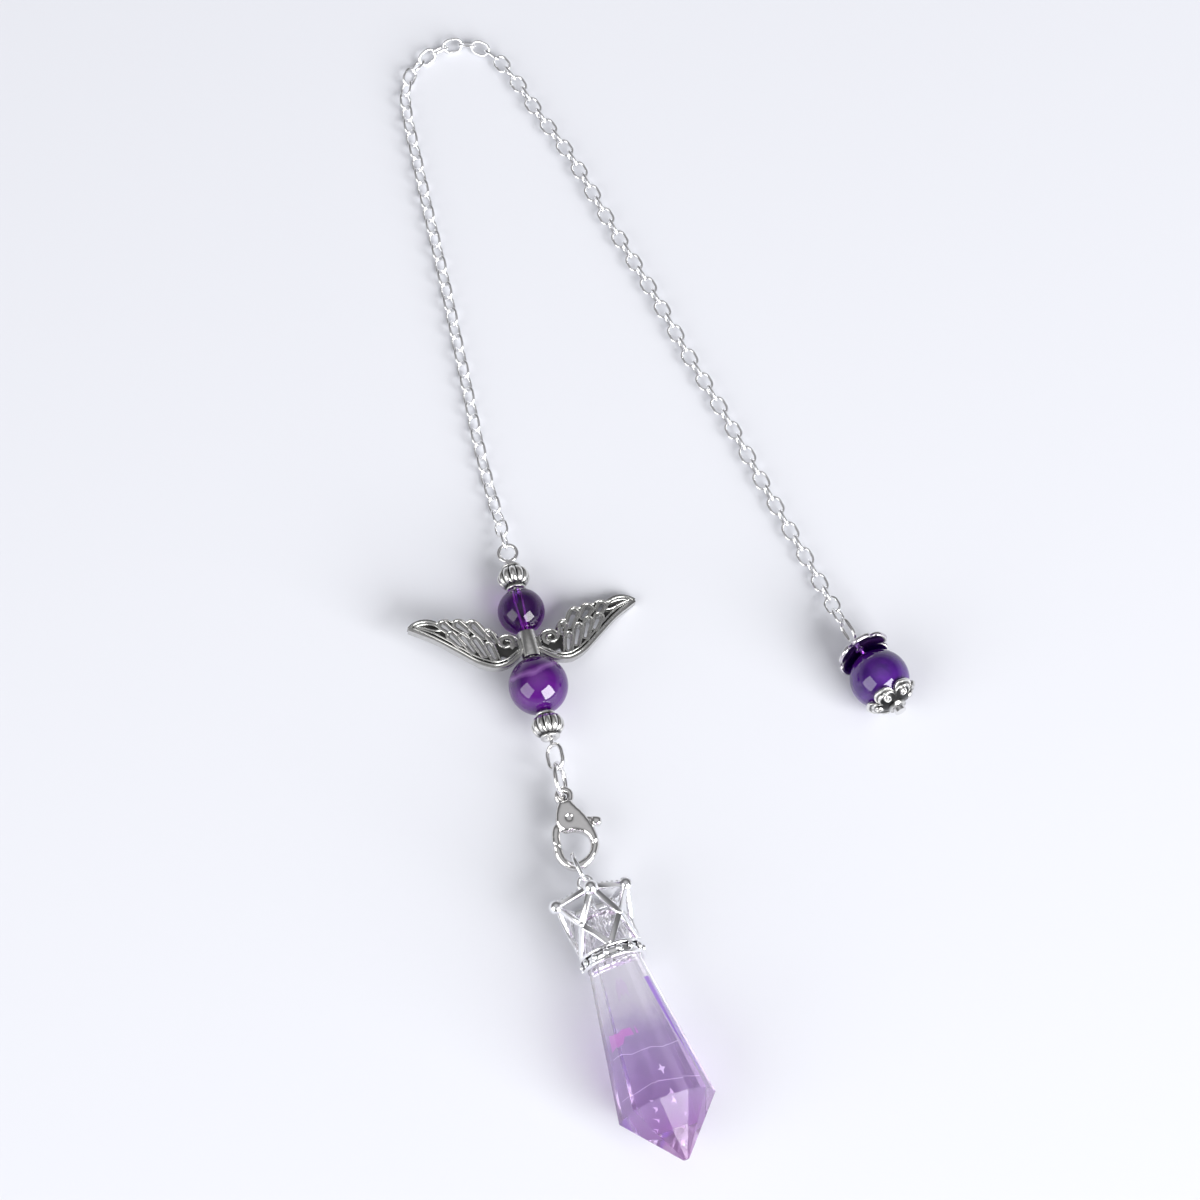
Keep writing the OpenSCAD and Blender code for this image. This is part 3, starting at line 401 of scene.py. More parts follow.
def ribBead(name, s):
    half, belly, lip = ribLook["high"] / 2, ribLook["across"] / 2, ribLook["flange"] / 2
    barrel, barrelLevel = lip - ribLook["barrelIn"], ribLook["barrelLevel"]
    flange = [(ribLook["bore"] / 2, half), (lip - ribLook["edge"], half), (lip, half - ribLook["edgeHigh"]),
              (lip, half * ribLook["flangeLevel"]), (lip - ribLook["neckIn"], half * ribLook["neckLevel"])]
    profile = [(r, -z) for r, z in flange]
    for i in range(ribLook["barrelRows"] + 1):
        level = -barrelLevel + 2 * barrelLevel * i / ribLook["barrelRows"]
        profile.append((barrel + (belly - barrel) * fallOff(level, ribLook["barrelRunOut"]), level * half))
    bm = turned(profile + flange[::-1], ribLook["steps"])
    for v in bm.verts:
        level, radius = abs(v.co.z) / half, math.hypot(v.co.x, v.co.y)
        if level < barrelLevel + ribLook["levelSlack"] and radius > barrel:
            sink = ribLook["groove"] * (1 - ribLobe(v.co)) * fallOff(level, ribLook["grooveRunOut"])
            v.co.x *= (radius - sink) / radius
            v.co.y *= (radius - sink) / radius

    def toneAt(co):
        level = abs(co.z) / half
        if level > ribTones["flangeFrom"]:
            return ribTones["flange"]
        if level > barrelLevel:
            return ribTones["neck"]
        return (ribLobe(co) - ribTones["darkTo"]) / ribTones["fade"]
    paintTone(bm, toneAt)
    piece = pieceFrom(bm, name + "_cast", castSilver, onPin(s))
    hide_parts(name)
    return piece


ribBead("rib_bead_upper", angelPin["ribUpper"])
ribBead("rib_bead_lower", angelPin["ribLower"])

# Drilled stone beads
beadLook = {"small": 8, "large": 10, "boreRadius": 0.5, "edge": 0.12, "edgeDeep": 0.1, "rows": 40,
            "steps": 80}


def stoneBead(name, place, across, material):
    radius, bore = across / 2, beadLook["boreRadius"]
    edge = bore + beadLook["edge"]
    lip = math.asin(edge / radius)
    end = radius * math.cos(lip)
    profile = [(bore, beadLook["edgeDeep"] - end), (edge, -end)]
    for i in range(1, beadLook["rows"]):
        fall = lip + (math.pi - 2 * lip) * i / beadLook["rows"]
        profile.append((radius * math.sin(fall), -radius * math.cos(fall)))
    profile += [(edge, end), (bore, end - beadLook["edgeDeep"])]
    piece = pieceFrom(turned(profile, beadLook["steps"]), name + "_stone", material, place)
    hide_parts(name)
    return piece


stoneBead("bead_small", onPin(angelPin["small"]), beadLook["small"], deepAmethyst)
stoneBead("bead_large", onPin(angelPin["large"]), beadLook["large"], milkyAmethyst)

# Wings and the tube between them: x runs along the span, y towards the pin's start, z out of the wings' face
wingLook = {"thick": 1.4, "tube": 3.2, "tubeHalf": 1.7, "tubeMargin": 0.1, "ease": 0.09, "easeSteps": 2,
            "sharpAt": 35, "creaseAt": 38, "flatWithin": 2}
# How far under full thickness the recess and the rounded edge are, and the tone of each part
wingTones = {"recessUnder": 0.25, "edgeUnder": 0.12, "tube": 0.85, "recess": 0.08, "edge": 1.0, "face": 0.7}
laidFlat = Matrix(((0, 0, 1, 0), (-1, 0, 0, 0), (0, -1, 0, 0), (0, 0, 0, 1)))
wingPlace = onPin(angelPin["wings"], angelPin["wingRoll"]) @ laidFlat
wingInverse = wingPlace.inverted()


def wingTone(co):
    local = wingInverse @ co
    nearTube = math.hypot(local.x, local.z) < wingLook["tube"] / 2 + wingLook["tubeMargin"]
    if nearTube and abs(local.x) < wingLook["tubeHalf"]:
        return wingTones["tube"]
    level = abs(local.z) * 2
    if level < wingLook["thick"] - wingTones["recessUnder"]:
        return wingTones["recess"]
    return wingTones["face"] if level > wingLook["thick"] - wingTones["edgeUnder"] else wingTones["edge"]


# Wires on the wings, at shares of the half span and the height. A feather has a tip, a foot and the share of
# the height that it is wide at each; the other names are single strokes
featherWires = {
    "span": 19.5, "high": 10, "wire": 0.17, "sunk": 0.05, "tipExtra": 0.52, "footExtra": 0.5, "tail": 0.7,
    "arcStep": 20,
    "feathers": (((0.705, 0.54), (0.668, 0.455), 0.038, 0.026), ((0.578, 0.515), (0.512, 0.37), 0.042, 0.026),
                 ((0.447, 0.465), (0.376, 0.24), 0.044, 0.028), ((0.326, 0.258), (0.3, 0.135), 0.03, 0.02),
                 ((0.655, 0.335), (0.592, 0.145), 0.034, 0.022),
                 ((0.557, 0.285), (0.494, 0.01), 0.036, 0.022),
                 ((0.457, 0.195), (0.399, -0.1), 0.036, 0.022),
                 ((0.352, 0.05), (0.325, -0.175), 0.036, 0.024)),
    "rail": ((0.1, -0.07), (0.15, -0.14), (0.22, -0.22), (0.31, -0.25), (0.385, -0.21), (0.48, -0.1),
             (0.6, 0.1), (0.7, 0.27), (0.8, 0.42), (0.93, 0.555)),
    "edge": ((0.07, -0.06), (0.135, -0.17), (0.21, -0.27), (0.31, -0.31), (0.395, -0.265), (0.49, -0.155),
             (0.615, 0.055), (0.8, 0.345), (0.96, 0.56)),
    "leaf": ((0.95, 0.585), (0.88, 0.61), (0.79, 0.575), (0.725, 0.47), (0.79, 0.47), (0.87, 0.535),
             (0.95, 0.585)),
    "back": ((0.99, 0.575), (0.955, 0.63), (0.9, 0.66), (0.83, 0.65), (0.765, 0.6), (0.735, 0.625),
             (0.7, 0.645), (0.655, 0.625), (0.625, 0.59), (0.595, 0.615), (0.565, 0.62), (0.53, 0.595),
             (0.505, 0.55), (0.47, 0.575), (0.44, 0.575), (0.395, 0.5), (0.358, 0.38), (0.325, 0.375),
             (0.29, 0.315), (0.262, 0.24)),
    "curl": ((0.1, 0.02), (0.095, 0.12), (0.14, 0.2), (0.21, 0.22), (0.265, 0.15), (0.26, 0.05), (0.21, 0.0),
             (0.165, 0.03), (0.165, 0.1), (0.2, 0.12)),
}


def onWing(share):
    return Vector((share[0] * featherWires["span"], share[1] * featherWires["high"]))


# A feather's outline: up one side, round the tip and down the other
def hairpin(tip, foot, tipWide, footWide):
    p, q = onWing(tip), onWing(foot)
    along = (p - q).normalized()
    side = Vector((-along.y, along.x))
    a = tipWide * featherWires["high"] + featherWires["tipExtra"]
    b = footWide * featherWires["high"] + featherWires["footExtra"]
    end = q - along * featherWires["tail"]
    arc = [p + a * (math.sin(math.radians(k)) * along - math.cos(math.radians(k)) * side)
           for k in range(0, 181, featherWires["arcStep"])]
    return [end - side * b, q - side * b] + arc + [q + side * b, end + side * b]


def smoothPath(points, steps=5):
    out = []
    for i in range(len(points) - 1):
        a, b, c, d = points[max(i - 1, 0)], points[i], points[i + 1], points[min(i + 2, len(points) - 1)]
        for k in range(steps):
            u = k / steps
            out.append(0.5 * (2 * b + (c - a) * u + (2 * a - 5 * b + 4 * c - d) * u * u
                              + (3 * b - a - 3 * c + d) * u * u * u))
    return out + [points[-1]]


def wirePiece(name, paths, radius, place, material):
    curve = bpy.data.curves.new(name, "CURVE")
    curve.dimensions = "3D"
    curve.bevel_depth = radius
    curve.bevel_resolution = 2
    curve.use_fill_caps = True
    for path in paths:
        spline = curve.splines.new("POLY")
        spline.points.add(len(path) - 1)
        for point, co in zip(spline.points, path):
            point.co = (*co, 1)
    bm = bmesh.new()
    bm.from_mesh(bakedMesh(bpy.data.objects.new(name + "Curve", curve)))
    return pieceFrom(bm, name, material, place)


def wingWires():
    strokes = [hairpin(*feather) for feather in featherWires["feathers"]]
    for stroke in ("rail", "edge", "leaf", "back", "curl"):
        strokes.append(smoothPath([onWing(share) for share in featherWires[stroke]]))
    paths = []
    for face in (1, -1):
        level = face * (wingLook["thick"] / 2 - featherWires["sunk"])
        for side in (1, -1):
            paths += [[(side * point.x, point.y, level) for point in stroke] for stroke in strokes]
    return wirePiece("wing_wires", paths, featherWires["wire"], wingPlace, brightCast)


# The wings' own casting, its sharp edges eased
def wingsCast():
    bm = nodeCopy("wing_spacer")
    bmesh.ops.dissolve_limit(bm, angle_limit=math.radians(wingLook["flatWithin"]),
                             use_dissolve_boundaries=False, verts=bm.verts, edges=bm.edges)
    sharpAt, creaseAt = math.radians(wingLook["sharpAt"]), math.radians(wingLook["creaseAt"])
    sharp = [e for e in bm.edges if len(e.link_faces) == 2 and e.calc_face_angle(0) > sharpAt]
    bmesh.ops.bevel(bm, geom=sharp, offset=wingLook["ease"] * mm, segments=wingLook["easeSteps"], profile=0.5,
                    affect="EDGES", material=-1, clamp_overlap=True)
    bmesh.ops.triangulate(bm, faces=[f for f in bm.faces if len(f.verts) > 4])
    for e in bm.edges:
        e.smooth = e.calc_face_angle(0) < creaseAt
    paintTone(bm, wingTone)
    piece = pieceFrom(bm, "wings_cast", castSilver)
    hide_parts("wing_spacer")
    return piece


wingWires()
wingsCast()
print("stage: angel made")

# Clasp: a cast, polished copy, the node's edges worn round all over
claspLook = {"voxel": 0.11, "swell": 0.27, "smoothing": 0.5, "bodySteps": 75, "leverSteps": 30}


def polishedCopy(node, name, material, steps, body="pendulum"):
    source = bpy.data.objects.new(name + "Source", nodes[node].data.copy())
    fine = source.modifiers.new("fine", "REMESH")
    fine.mode = "VOXEL"
    fine.voxel_size = claspLook["voxel"] * mm
    swell = source.modifiers.new("swell", "DISPLACE")
    swell.mid_level = 0
    swell.strength = claspLook["swell"] * mm
    polish = source.modifiers.new("polish", "SMOOTH")
    polish.factor = claspLook["smoothing"]
    polish.iterations = steps
    mesh = bakedMesh(source)
    mesh.name = name
    mesh.materials.clear()
    for poly in mesh.polygons:
        poly.use_smooth = True
    piece = pieceOf(mesh, name, material, body)
    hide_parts(node)
    return piece


polishedCopy("clasp_body", "clasp_body_polished", claspSilver, claspLook["bodySteps"])
polishedCopy("clasp_lever", "clasp_lever_polished", claspSilver, claspLook["leverSteps"], "lever")
print("stage: clasp made")

# Crown cage: five points with balls, bars between them and a band of beads at the crystal's end
crownLook = {"points": 5, "ballRadius": 6.2, "ball": 2.0, "upperExtra": 0.45, "upperFrom": 2.5,
             "ballRings": 16, "sideRadius": 5.3, "sideShare": 0.41, "sideBall": 1.2, "sideRings": 8,
             "height": 11.8, "band": 10.8, "bandHigh": 2.5, "rail": 0.6, "railShown": 0.9, "footIn": 0.08,
             "sunk": 0.2, "bar": 1.02, "barThick": 0.8, "barEase": 0.12, "beads": 15, "bead": 1.2,
             "beadUp": 1.25, "beadRings": 10, "grains": 5, "grain": 0.6, "grainRings": 7, "wall": 0.45,
             "darkOut": 0.16, "steps": 72, "railSides": 12}
crownPlace = aimFrame(**crownAxis)
bandTop = crownLook["height"] - crownLook["bandHigh"]
footRadius = crownLook["band"] / 2 - crownLook["rail"] / 2
wallOut = footRadius - crownLook["rail"] / 6


def crownAt(angle, radius, s):
    turn = math.radians(angle)
    return Vector((radius * math.cos(turn), -radius * math.sin(turn), s))


def addBall(bm, at, across, rings):
    bmesh.ops.create_uvsphere(bm, u_segments=2 * rings, v_segments=rings, radius=across / 2,
                              matrix=Matrix.Translation(at))


def addBar(bm, p, q):
    along = (q - p).normalized()
    across = along.cross(Vector((p.x + q.x, p.y + q.y, 0))).normalized()
    out = across.cross(along)
    place = Matrix(((*along, 0), (*across, 0), (*out, 0), (0, 0, 0, 1))).transposed()
    place.translation = (p + q) / 2
    size = Matrix.Diagonal(((q - p).length, crownLook["bar"], crownLook["barThick"], 1))
    part = bmesh.ops.create_cube(bm, size=1, matrix=place @ size)
    rim = list({e for v in part["verts"] for e in v.link_edges})
    bmesh.ops.bevel(bm, geom=rim, offset=crownLook["barEase"], segments=2, profile=0.5, affect="EDGES",
                    material=-1)


def addTurned(bm, profile):
    shape = meshFrom(turned(profile, crownLook["steps"]), "turnedShape")
    bm.from_mesh(shape)
    bpy.data.meshes.remove(shape)


def addRail(bm, s):
    wire, sides = crownLook["rail"], crownLook["railSides"]
    angles = [2 * math.pi * k / sides for k in range(sides)]
    addTurned(bm, [(footRadius + wire / 2 * math.cos(a), s + wire / 2 * math.sin(a)) for a in angles])


def addPoint(bm, angle, step):
    ball = crownAt(angle, crownLook["ballRadius"], 0)
    nextBall = crownAt(angle + step, crownLook["ballRadius"], 0)
    side = crownAt(angle + step / 2, crownLook["sideRadius"], crownLook["sideShare"] * crownLook["height"])
    foot = crownAt(angle, footRadius - crownLook["footIn"], bandTop + crownLook["sunk"])
    nextFoot = crownAt(angle + step, footRadius - crownLook["footIn"], bandTop + crownLook["sunk"])
    isUpper = (crownPlace @ ball).z > crownLook["upperFrom"] * mm
    addBall(bm, ball, crownLook["ball"] + (crownLook["upperExtra"] if isUpper else 0), crownLook["ballRings"])
    addBall(bm, side, crownLook["sideBall"], crownLook["sideRings"])
    for p, q in ((ball, nextBall), (ball, side), (side, nextBall), (foot, side), (side, nextFoot)):
        addBar(bm, p, q)
    for j in range(crownLook["grains"]):
        at = ball + (nextBall - ball) * (j + 1.5) / (crownLook["grains"] + 2)
        addBall(bm, at - upward * (crownLook["bar"] / 2), crownLook["grain"], crownLook["grainRings"])


# The band's wall is dark between its rails, and all else is bright
def cageTone(co):
    radius, level = math.hypot(co.x, co.y), co.z - bandTop
    railEnd = crownLook["rail"] * crownLook["railShown"]
    inBand = railEnd < level < crownLook["bandHigh"] - railEnd
    return 0.0 if inBand and radius < wallOut + crownLook["darkOut"] else 1.0


def crownCage():
    bm = bmesh.new()
    step = 360 / crownLook["points"]
    for i in range(crownLook["points"]):
        addPoint(bm, i * step, step)
    addRail(bm, bandTop + crownLook["rail"] / 2)
    addRail(bm, crownLook["height"] - crownLook["rail"] / 2)
    low, high = bandTop + crownLook["sunk"], crownLook["height"] - crownLook["sunk"]
    wallIn = wallOut - crownLook["wall"]
    addTurned(bm, [(wallIn, low), (wallOut, low), (wallOut, high), (wallIn, high)])
    beadLevel = crownLook["height"] - crownLook["beadUp"]
    for i in range(crownLook["beads"]):
        addBall(bm, crownAt((i + 0.5) * 360 / crownLook["beads"], footRadius, beadLevel), crownLook["bead"],
                crownLook["beadRings"])
    paintTone(bm, cageTone)
    return pieceFrom(bm, "crown_cage", crownCast, crownPlace)


cage = crownCage()
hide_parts("crown")
print("stage: crown made")

# Grip: where its pin starts and points, distances along it, and each cap's radius and its reach in degrees
gripPin = {"start": (41.6706, -7.17964, 3.95166), "heading": -61.5, "slope": 5.84169, "bead": 10.3,
           "flare": 3.9, "flareRadius": 6.6, "flareReach": 43, "flareTilt": 13, "domeRadius": 5.22,
           "domeReach": 54, "domeRoll": 30}
capLook = {"relief": 0.35, "plate": 0.4, "hub": 3.0, "hubThick": 0.75, "bore": 1.25, "petals": 6,
           "valley": 0.5, "columns": 40, "outerRows": 34, "innerRows": 14, "rimIn": 0.12, "fanStart": 10,
           "fanGap": 0.1}
capTones = {"hub": 0.8, "base": 0.04, "from": 0.08, "gain": 1.9, "inside": 0.0, "rim": 1.0, "rimFrom": 0.88}
# Scrolls on a petal: u runs across it from -1 to 1, and v from the hub at 0 to the rim at 1
scrollLook = {"edgeAt": 0.93, "edgeWide": 0.075, "lineAt": 0.70, "lineWide": 0.07, "lineHigh": 0.8,
              "gapHalf": 0.1, "gapTo": 0.9, "gapShare": 0.4, "curlU": 0.05, "curlV": 0.42, "stretchU": 0.8,
              "stretchV": 1.6, "curlRadius": 0.24, "curlWide": 0.075, "curlHigh": 0.9, "curlTo": 0.62,
              "eyeWide": 0.08, "eyeHigh": 0.8}


def onGrip(s):
    return aimFrame(gripPin["start"], gripPin["heading"], gripPin["slope"]) @ Matrix.Translation((0, 0, s))


def ridge(distance, wide):
    return math.exp(-(distance / wide) ** 2)


# Two raised lines follow the petal's edge, and a curl fills its heart
def scrollRelief(u, v):
    look = scrollLook
    edge = ridge(v - look["edgeAt"], look["edgeWide"])
    line = look["lineHigh"] * ridge(v - look["lineAt"], look["lineWide"])
    if abs(u) <= look["gapHalf"] and v <= look["gapTo"]:
        line *= look["gapShare"]
    if v >= look["curlTo"]:
        return max(edge, line)
    curl = math.hypot((u - look["curlU"]) * look["stretchU"], (v - look["curlV"]) * look["stretchV"])
    return max(edge, line, look["curlHigh"] * ridge(curl - look["curlRadius"], look["curlWide"])
               + look["eyeHigh"] * ridge(curl, look["eyeWide"]))


# A cap is turned as a flat fan of rings, told apart by their radius, and each ring is then moved to its
# place: two round the hub, then the outside from the hub to the rim, and the inside back to the bore
def flowerCap(name, place, radius, reach, material):
    outer, inner = capLook["outerRows"], capLook["innerRows"]
    outRadius, hubTop = radius + capLook["plate"], radius + capLook["hubThick"]
    hubFall = math.degrees(math.asin(capLook["hub"] / 2 / outRadius))
    boreFall = math.degrees(math.asin(capLook["bore"] / 2 / radius))
    sector = 180 / capLook["petals"]
    start, gap = capLook["fanStart"], capLook["fanGap"]
    bm = turned([(start + gap * i, gap * (i % 2)) for i in range(outer + inner + 4)],
                capLook["columns"] * capLook["petals"])
    paint = bm.verts.layers.float_color.new("tone")
    for v in bm.verts:
        ring = round((math.hypot(v.co.x, v.co.y) - start) / gap)
        turn = math.degrees(math.atan2(v.co.y, v.co.x))
        around = Vector((math.cos(math.radians(turn)), math.sin(math.radians(turn)), 0))
        u = ((turn / sector + 1) % 2) - 1
        end = reach * (capLook["valley"] + (1 - capLook["valley"]) * math.sqrt(max(0.0, 1 - u ** 4)))
        if ring < 2:
            across = (capLook["bore"], capLook["hub"])[ring]
            v.co = around * across / 2 - upward * hubTop
            setTone(v, paint, capTones["hub"])
        elif ring <= outer + 1:
            share = (ring - 2) / (outer - 1)
            lift = scrollRelief(u, share) * (1 - abs(u) ** 8)
            fall = math.radians(hubFall + (end - hubFall) * share)
            r = outRadius + capLook["relief"] * lift - (capLook["rimIn"] if share == 1 else 0)
            v.co = around * r * math.sin(fall) - upward * (r * math.cos(fall))
            setTone(v, paint, capTones["base"] + (lift - capTones["from"]) * capTones["gain"])
        else:
            share = 1 - (ring - outer - 2) / (inner + 1)
            fall = math.radians(boreFall + (end - boreFall) * share)
            v.co = around * radius * math.sin(fall) - upward * (radius * math.cos(fall))
            setTone(v, paint, capTones["rim"] if share > capTones["rimFrom"] else capTones["inside"])
    piece = pieceFrom(bm, name + "_cast", material, place)
    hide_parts(name)
    return piece


flarePlace = (onGrip(gripPin["flare"]) @ Matrix.Rotation(math.radians(gripPin["flareTilt"]), 4, "Y")
              @ Matrix.Translation((0, 0, gripPin["flareRadius"])))
domePlace = (onGrip(gripPin["bead"]) @ Matrix.Rotation(math.pi, 4, "X")
             @ Matrix.Rotation(math.radians(gripPin["domeRoll"]), 4, "Z"))
flowerCap("grip_cap_inner", flarePlace, gripPin["flareRadius"], gripPin["flareReach"], capSilver)
flowerCap("grip_cap_outer", domePlace, gripPin["domeRadius"], gripPin["domeReach"], castSilver)
stoneBead("grip_bead", onGrip(gripPin["bead"]), beadLook["large"], gripAmethyst)
print("stage: grip made")

# Crystal: a copy whose facets are each one flat face again
gem = nodeCopy("crystal")
bmesh.ops.dissolve_limit(gem, angle_limit=math.radians(1), verts=gem.verts, edges=gem.edges)
crystalCut = pieceOf(meshFrom(gem, "crystal_cut"), "crystal_cut", clearAmethyst)
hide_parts("crystal")

# Thin plates inside the crystal, "lift" mm above its axis, for the fractures and veils that show in it and a
# violet strip near its edge; every plate also gives off a faint painted glow in its own colour, though it is
# no lamp
flawLook = {"lift": 1.6, "layers": 3, "layerGap": 0.2, "thick": 0.06, "glow": 0.12, "rough": 0.35}
flawAndGlowColours = {"rose": (0.74, 0.36, 0.72), "violet": (0.36, 0.18, 0.75), "veil": (0.93, 0.90, 0.97),
               "smoke": (0.55, 0.50, 0.62)}
# Points as mm along the axis from the crown's top, and mm across it; a line also has a half width
flawLines = {
    "crystal_fracture": ("veil", 0.045,
                         ((26.7, -5.2), (26.5, -3.6), (27.1, -2.0), (27.0, 0.4), (27.6, 2.2), (27.3, 4.2))),
    "crystal_waist": ("veil", 0.04, ((33.4, -6.2), (33.2, -3.5), (32.6, -0.4), (33.5, 4.1), (33.9, 6.4))),
    "crystal_edge": ("violet", 0.6, ((15.6, 3.6), (21.0, 4.3), (27.0, 5.3), (32.6, 6.2))),
}
flawPlanes = {
    "crystal_rose": ("rose", (((22.8, -4.6), (23.1, -3.1), (22.7, -2.4), (22.9, -0.9), (24.2, -0.6),
                               (24.0, -2.2), (25.0, -2.8), (25.5, -4.9)),)),
    "crystal_smoke": ("smoke", (((14.6, -0.4), (16.2, -1.0), (18.6, -1.2), (17.2, -0.4), (18.2, 0.1),
                                 (15.8, 0.2)),)),
    "crystal_veils": ("veil", (((30.0, 0.7), (30.7, 0.55), (30.9, 0.1), (31.1, 0.6), (31.9, 0.8), (31.2, 1.0),
                                (30.8, 1.4), (30.6, 0.9)),
                               ((34.2, 0.9), (34.9, 0.75), (35.3, 0.2), (35.2, 0.9), (35.9, 1.2),
                                (35.0, 1.2)),
                               ((35.0, -1.9), (35.6, -1.6), (36.1, -1.9), (35.8, -1.3), (35.3, -1.2)),
                               ((36.8, -2.6), (37.3, -2.0), (37.9, -1.9), (37.3, -1.6)),
                               ((37.2, 1.4), (37.6, 1.9), (38.3, 1.8), (37.7, 2.2)),
                               ((41.9, 0.1), (42.6, -0.2), (43.2, 0.3), (42.5, 0.6)),
                               ((38.6, -3.2), (39.0, -2.7), (39.5, -2.8), (38.9, -2.4)),
                               ((39.6, 0.4), (39.9, 1.0), (40.4, 1.1), (39.8, 1.3)))),
}


# A flaw plate's colour, given to it both as its surface colour and as a faint painted glow
def flawMaterialWithPaintedGlow(name):
    mat, _, _, shader = newMaterial(name + "FlawWithPaintedGlow")
    colour = (*flawAndGlowColours[name], 1)
    # The emission is painted light: the plate glows in its own colour though it is no lamp
    setInputs(shader, {"Base Color": colour, "Roughness": flawLook["rough"], "Emission Color": colour,
                       "Emission Strength": flawLook["glow"]})
    return mat


flawAndGlowFinish = {name: flawMaterialWithPaintedGlow(name) for name in flawAndGlowColours}
# In the crown's own place: the part's upward direction, and the one across both it and the axis
turnedUp = crownPlace.to_3x3().inverted() @ upward
above = turnedUp.normalized()
sideways = turnedUp.cross(upward).normalized()
if (crownPlace.to_3x3() @ sideways).x < 0:
    sideways = -sideways


def addPlate(bm, outline, lift):
    low = [bm.verts.new(sideways * across + above * lift + upward * along) for along, across in outline]
    grown = bmesh.ops.extrude_face_region(bm, geom=[bm.faces.new(low)])
    for item in grown["geom"]:
        if isinstance(item, bmesh.types.BMVert):
            item.co += above * flawLook["thick"]


for name, (finish, wide, path) in flawLines.items():
    bm = bmesh.new()
    for (a, c), (b, d) in zip(path, path[1:]):
        run = Vector((b - a, d - c)).normalized() * wide
        addPlate(bm, ((a - run.y, c + run.x), (b - run.y, d + run.x), (b + run.y, d - run.x),
                      (a + run.y, c - run.x)), flawLook["lift"])
    pieceFrom(bm, name, flawAndGlowFinish[finish], crownPlace, smooth=False)
for name, (finish, outlines) in flawPlanes.items():
    bm = bmesh.new()
    for k, outline in enumerate(outlines):
        addPlate(bm, outline, flawLook["lift"] + flawLook["layerGap"] * (k % flawLook["layers"]))
    pieceFrom(bm, name, flawAndGlowFinish[finish], crownPlace, smooth=False)
print("stage: crystal made")

# Chain: round wire links laid where the nodes' own links lie
chainLook = {"length": 3.85, "width": 2.8, "wire": 0.5, "turnSteps": 10, "wireSides": 8, "weldShare": 0.01}


def linkShape():
    bm = bmesh.new()
    wire = chainLook["wire"]
    straight = (chainLook["length"] - chainLook["width"]) / 2
    start = bmesh.ops.create_circle(bm, cap_ends=False, segments=chainLook["wireSides"], radius=wire / 2,
                                    matrix=Matrix.Translation(((chainLook["width"] - wire) / 2, 0, straight)))
    edges = list({e for v in start["verts"] for e in v.link_edges})
    for end in (1, -1):
        bend = bmesh.ops.spin(bm, geom=edges, cent=(0, 0, end * straight), axis=(0, -1, 0), angle=math.pi,
                              steps=chainLook["turnSteps"], use_duplicate=False)
        edges = [e for e in bend["geom_last"] if isinstance(e, bmesh.types.BMEdge)]
        leg = bmesh.ops.extrude_edge_only(bm, edges=edges)["geom"]
        verts = [v for v in leg if isinstance(v, bmesh.types.BMVert)]
        bmesh.ops.translate(bm, verts=verts, vec=(0, 0, -end * 2 * straight))
        edges = [e for e in leg if isinstance(e, bmesh.types.BMEdge) and all(v in verts for v in e.verts)]
    bmesh.ops.remove_doubles(bm, verts=bm.verts, dist=wire * chainLook["weldShare"])
    return meshFrom(bm, "linkShape")


# The loose solids of a mesh, each as a list of its vertices
def looseSolids(source):
    seen = set()
    for first in source.verts:
        if first.index in seen:
            continue
        seen.add(first.index)
        group, queue = [], [first]
        while queue:
            v = queue.pop()
            group.append(v)
            for e in v.link_edges:
                other = e.other_vert(v)
                if other.index not in seen:
                    seen.add(other.index)
                    queue.append(other)
        yield group


# Each link's place: its middle, and the axes that its faces spread along most and next most
def linkPlaces(node):
    source = nodeCopy(node)
    places = []
    for group in looseSolids(source):
        faces = {f for v in group for f in v.link_faces}
        areas = numpy.array([f.calc_area() for f in faces])
        centres = numpy.array([f.calc_center_median()[:] for f in faces])
        middle = (centres * areas[:, None]).sum(axis=0) / areas.sum()
        spread = ((centres - middle) * areas[:, None]).T @ (centres - middle)
        axes = numpy.linalg.eigh(spread)[1]
        along, across = Vector(axes[:, 2]).normalized(), Vector(axes[:, 1]).normalized()
        out = along.cross(across)
        place = Matrix(((*(across * mm), 0), (*(out * mm), 0), (*(along * mm), 0), (0, 0, 0, 1))).transposed()
        place.translation = Vector(middle)
        places.append(place)
    source.free()
    return places


oneLink = linkShape()
for node in ("chain_near", "chain_far"):
    chain = bmesh.new()
    for place in linkPlaces(node):
        before = len(chain.verts)
        chain.from_mesh(oneLink)
        chain.verts.ensure_lookup_table()
        bmesh.ops.transform(chain, matrix=place, verts=chain.verts[before:])
    links = pieceFrom(chain, node + "_links", chainSilver)
    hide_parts(node)
print("stage: chain links laid")

# Table, lights, room and camera
tableLook = {"half": 1.5, "colour": (0.695, 0.705, 0.75), "rough": 0.6}
tableTop, _, _, shader = newMaterial("paleTable")
setInputs(shader, {"Base Color": (*tableLook["colour"], 1), "Roughness": tableLook["rough"]})
flat = bmesh.new()
bmesh.ops.create_grid(flat, x_segments=1, y_segments=1, size=tableLook["half"])
table = bpy.data.objects.new("table", meshFrom(flat, "table"))
table.data.materials.append(tableTop)
bpy.context.scene.collection.objects.link(table)

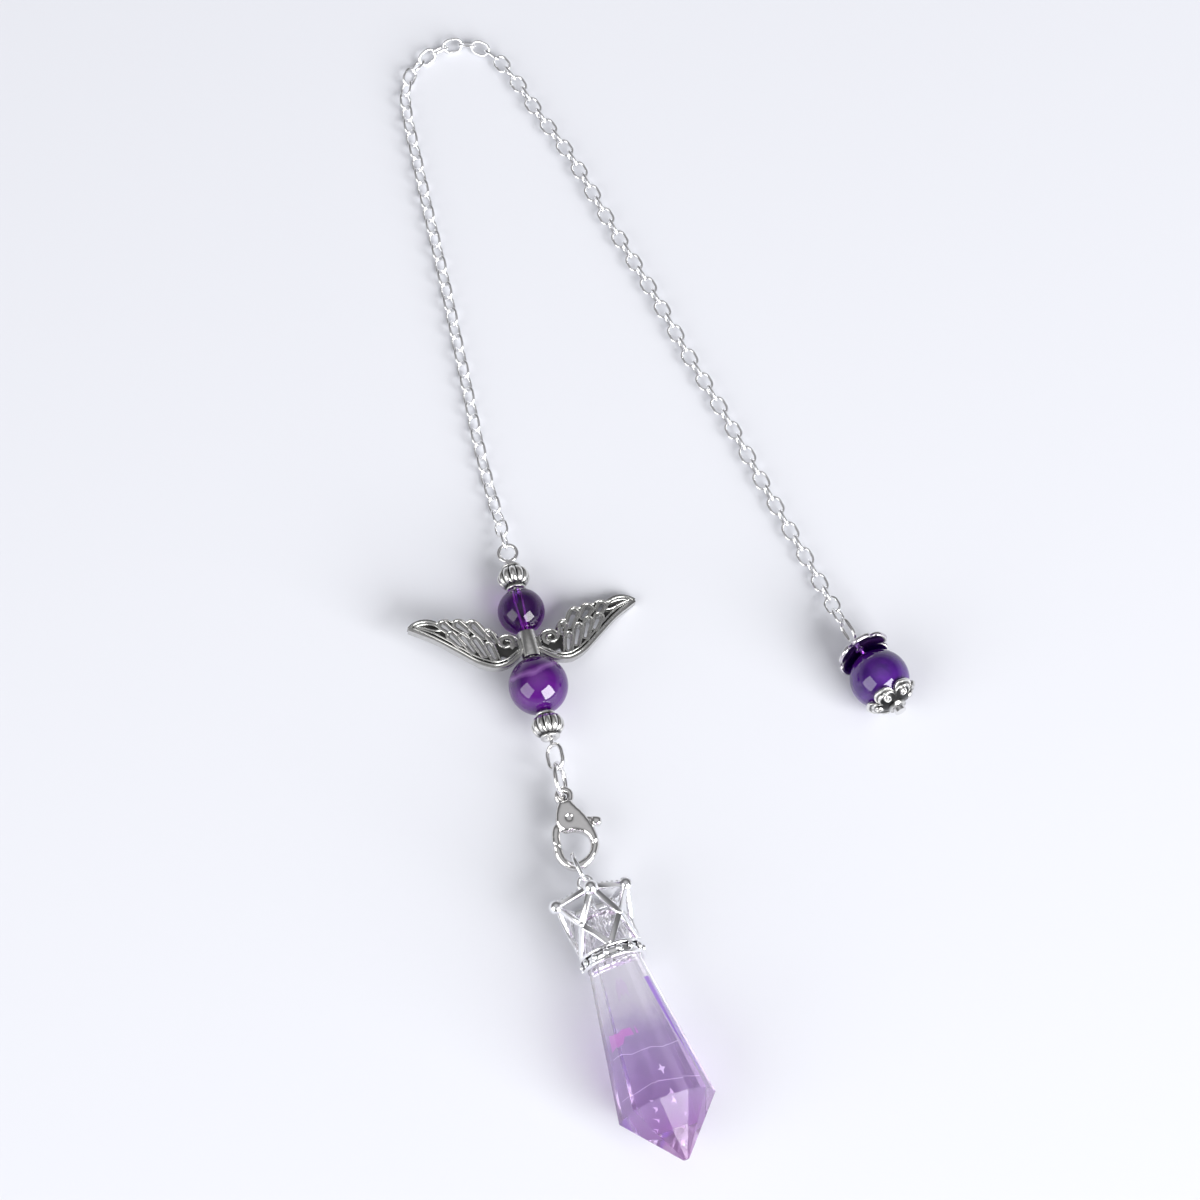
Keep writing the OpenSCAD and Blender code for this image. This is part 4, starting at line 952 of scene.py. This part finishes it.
lightLook = {
    "key": {"at": (1.455, -1.515, 1.17), "size": 1.8, "power": 105},
    "fill": {"at": (-1.62, -1.26, 1.23), "size": 1.9, "power": 32},
}
# The room's glow up its height, and how much bluer than grey it is
roomLook = {"bands": ((0.0, 0.60), (0.22, 0.46), (0.40, 0.14), (0.70, 0.18), (0.92, 0.46), (1.0, 0.56)),
            "blue": 1.03}
for name, look in lightLook.items():
    lamp = bpy.data.lights.new(name, "AREA")
    lamp.shape = "SQUARE"
    lamp.size = look["size"]
    lamp.energy = look["power"]
    lampObject = bpy.data.objects.new(name, lamp)
    lampObject.location = look["at"]
    lampObject.rotation_euler = (-Vector(look["at"])).to_track_quat("-Z", "Y").to_euler()
    bpy.context.scene.collection.objects.link(lampObject)

world = bpy.data.worlds.new("softRoom")
bpy.context.scene.world = world
world.use_nodes = True
room = world.node_tree
backdrop = room.nodes["Background"]
where = room.nodes.new("ShaderNodeTexCoord")
split = room.nodes.new("ShaderNodeSeparateXYZ")
ramp = room.nodes.new("ShaderNodeValToRGB")
setStops(ramp, [(height, (glow, glow, glow * roomLook["blue"])) for height, glow in roomLook["bands"]])
room.links.new(where.outputs["Generated"], split.inputs["Vector"])
room.links.new(split.outputs["Z"], ramp.inputs["Fac"])
room.links.new(ramp.outputs["Color"], backdrop.inputs["Color"])
setInputs(backdrop, {"Strength": 1.0})

# The camera stands "reach" mm from the layout's origin, "rise" degrees up, and looks at it
cameraLook = {"lens": 85, "sensor": 36, "reach": 482.6, "rise": 68, "clipStart": 0.01}
camera = bpy.data.cameras.new("camera")
camera.lens = cameraLook["lens"]
camera.sensor_width = cameraLook["sensor"]
camera.clip_start = cameraLook["clipStart"]
cameraObject = bpy.data.objects.new("camera", camera)
reach, rise = cameraLook["reach"], math.radians(cameraLook["rise"])
cameraObject.location = (Vector((0, -reach * math.cos(rise), reach * math.sin(rise))) + layoutShift) * mm
cameraObject.rotation_euler = (math.radians(90) - rise, 0, 0)
bpy.context.scene.collection.objects.link(cameraObject)
bpy.context.scene.camera = cameraObject
bpy.context.scene.view_settings.view_transform = "Standard"

print("stage: scene complete")
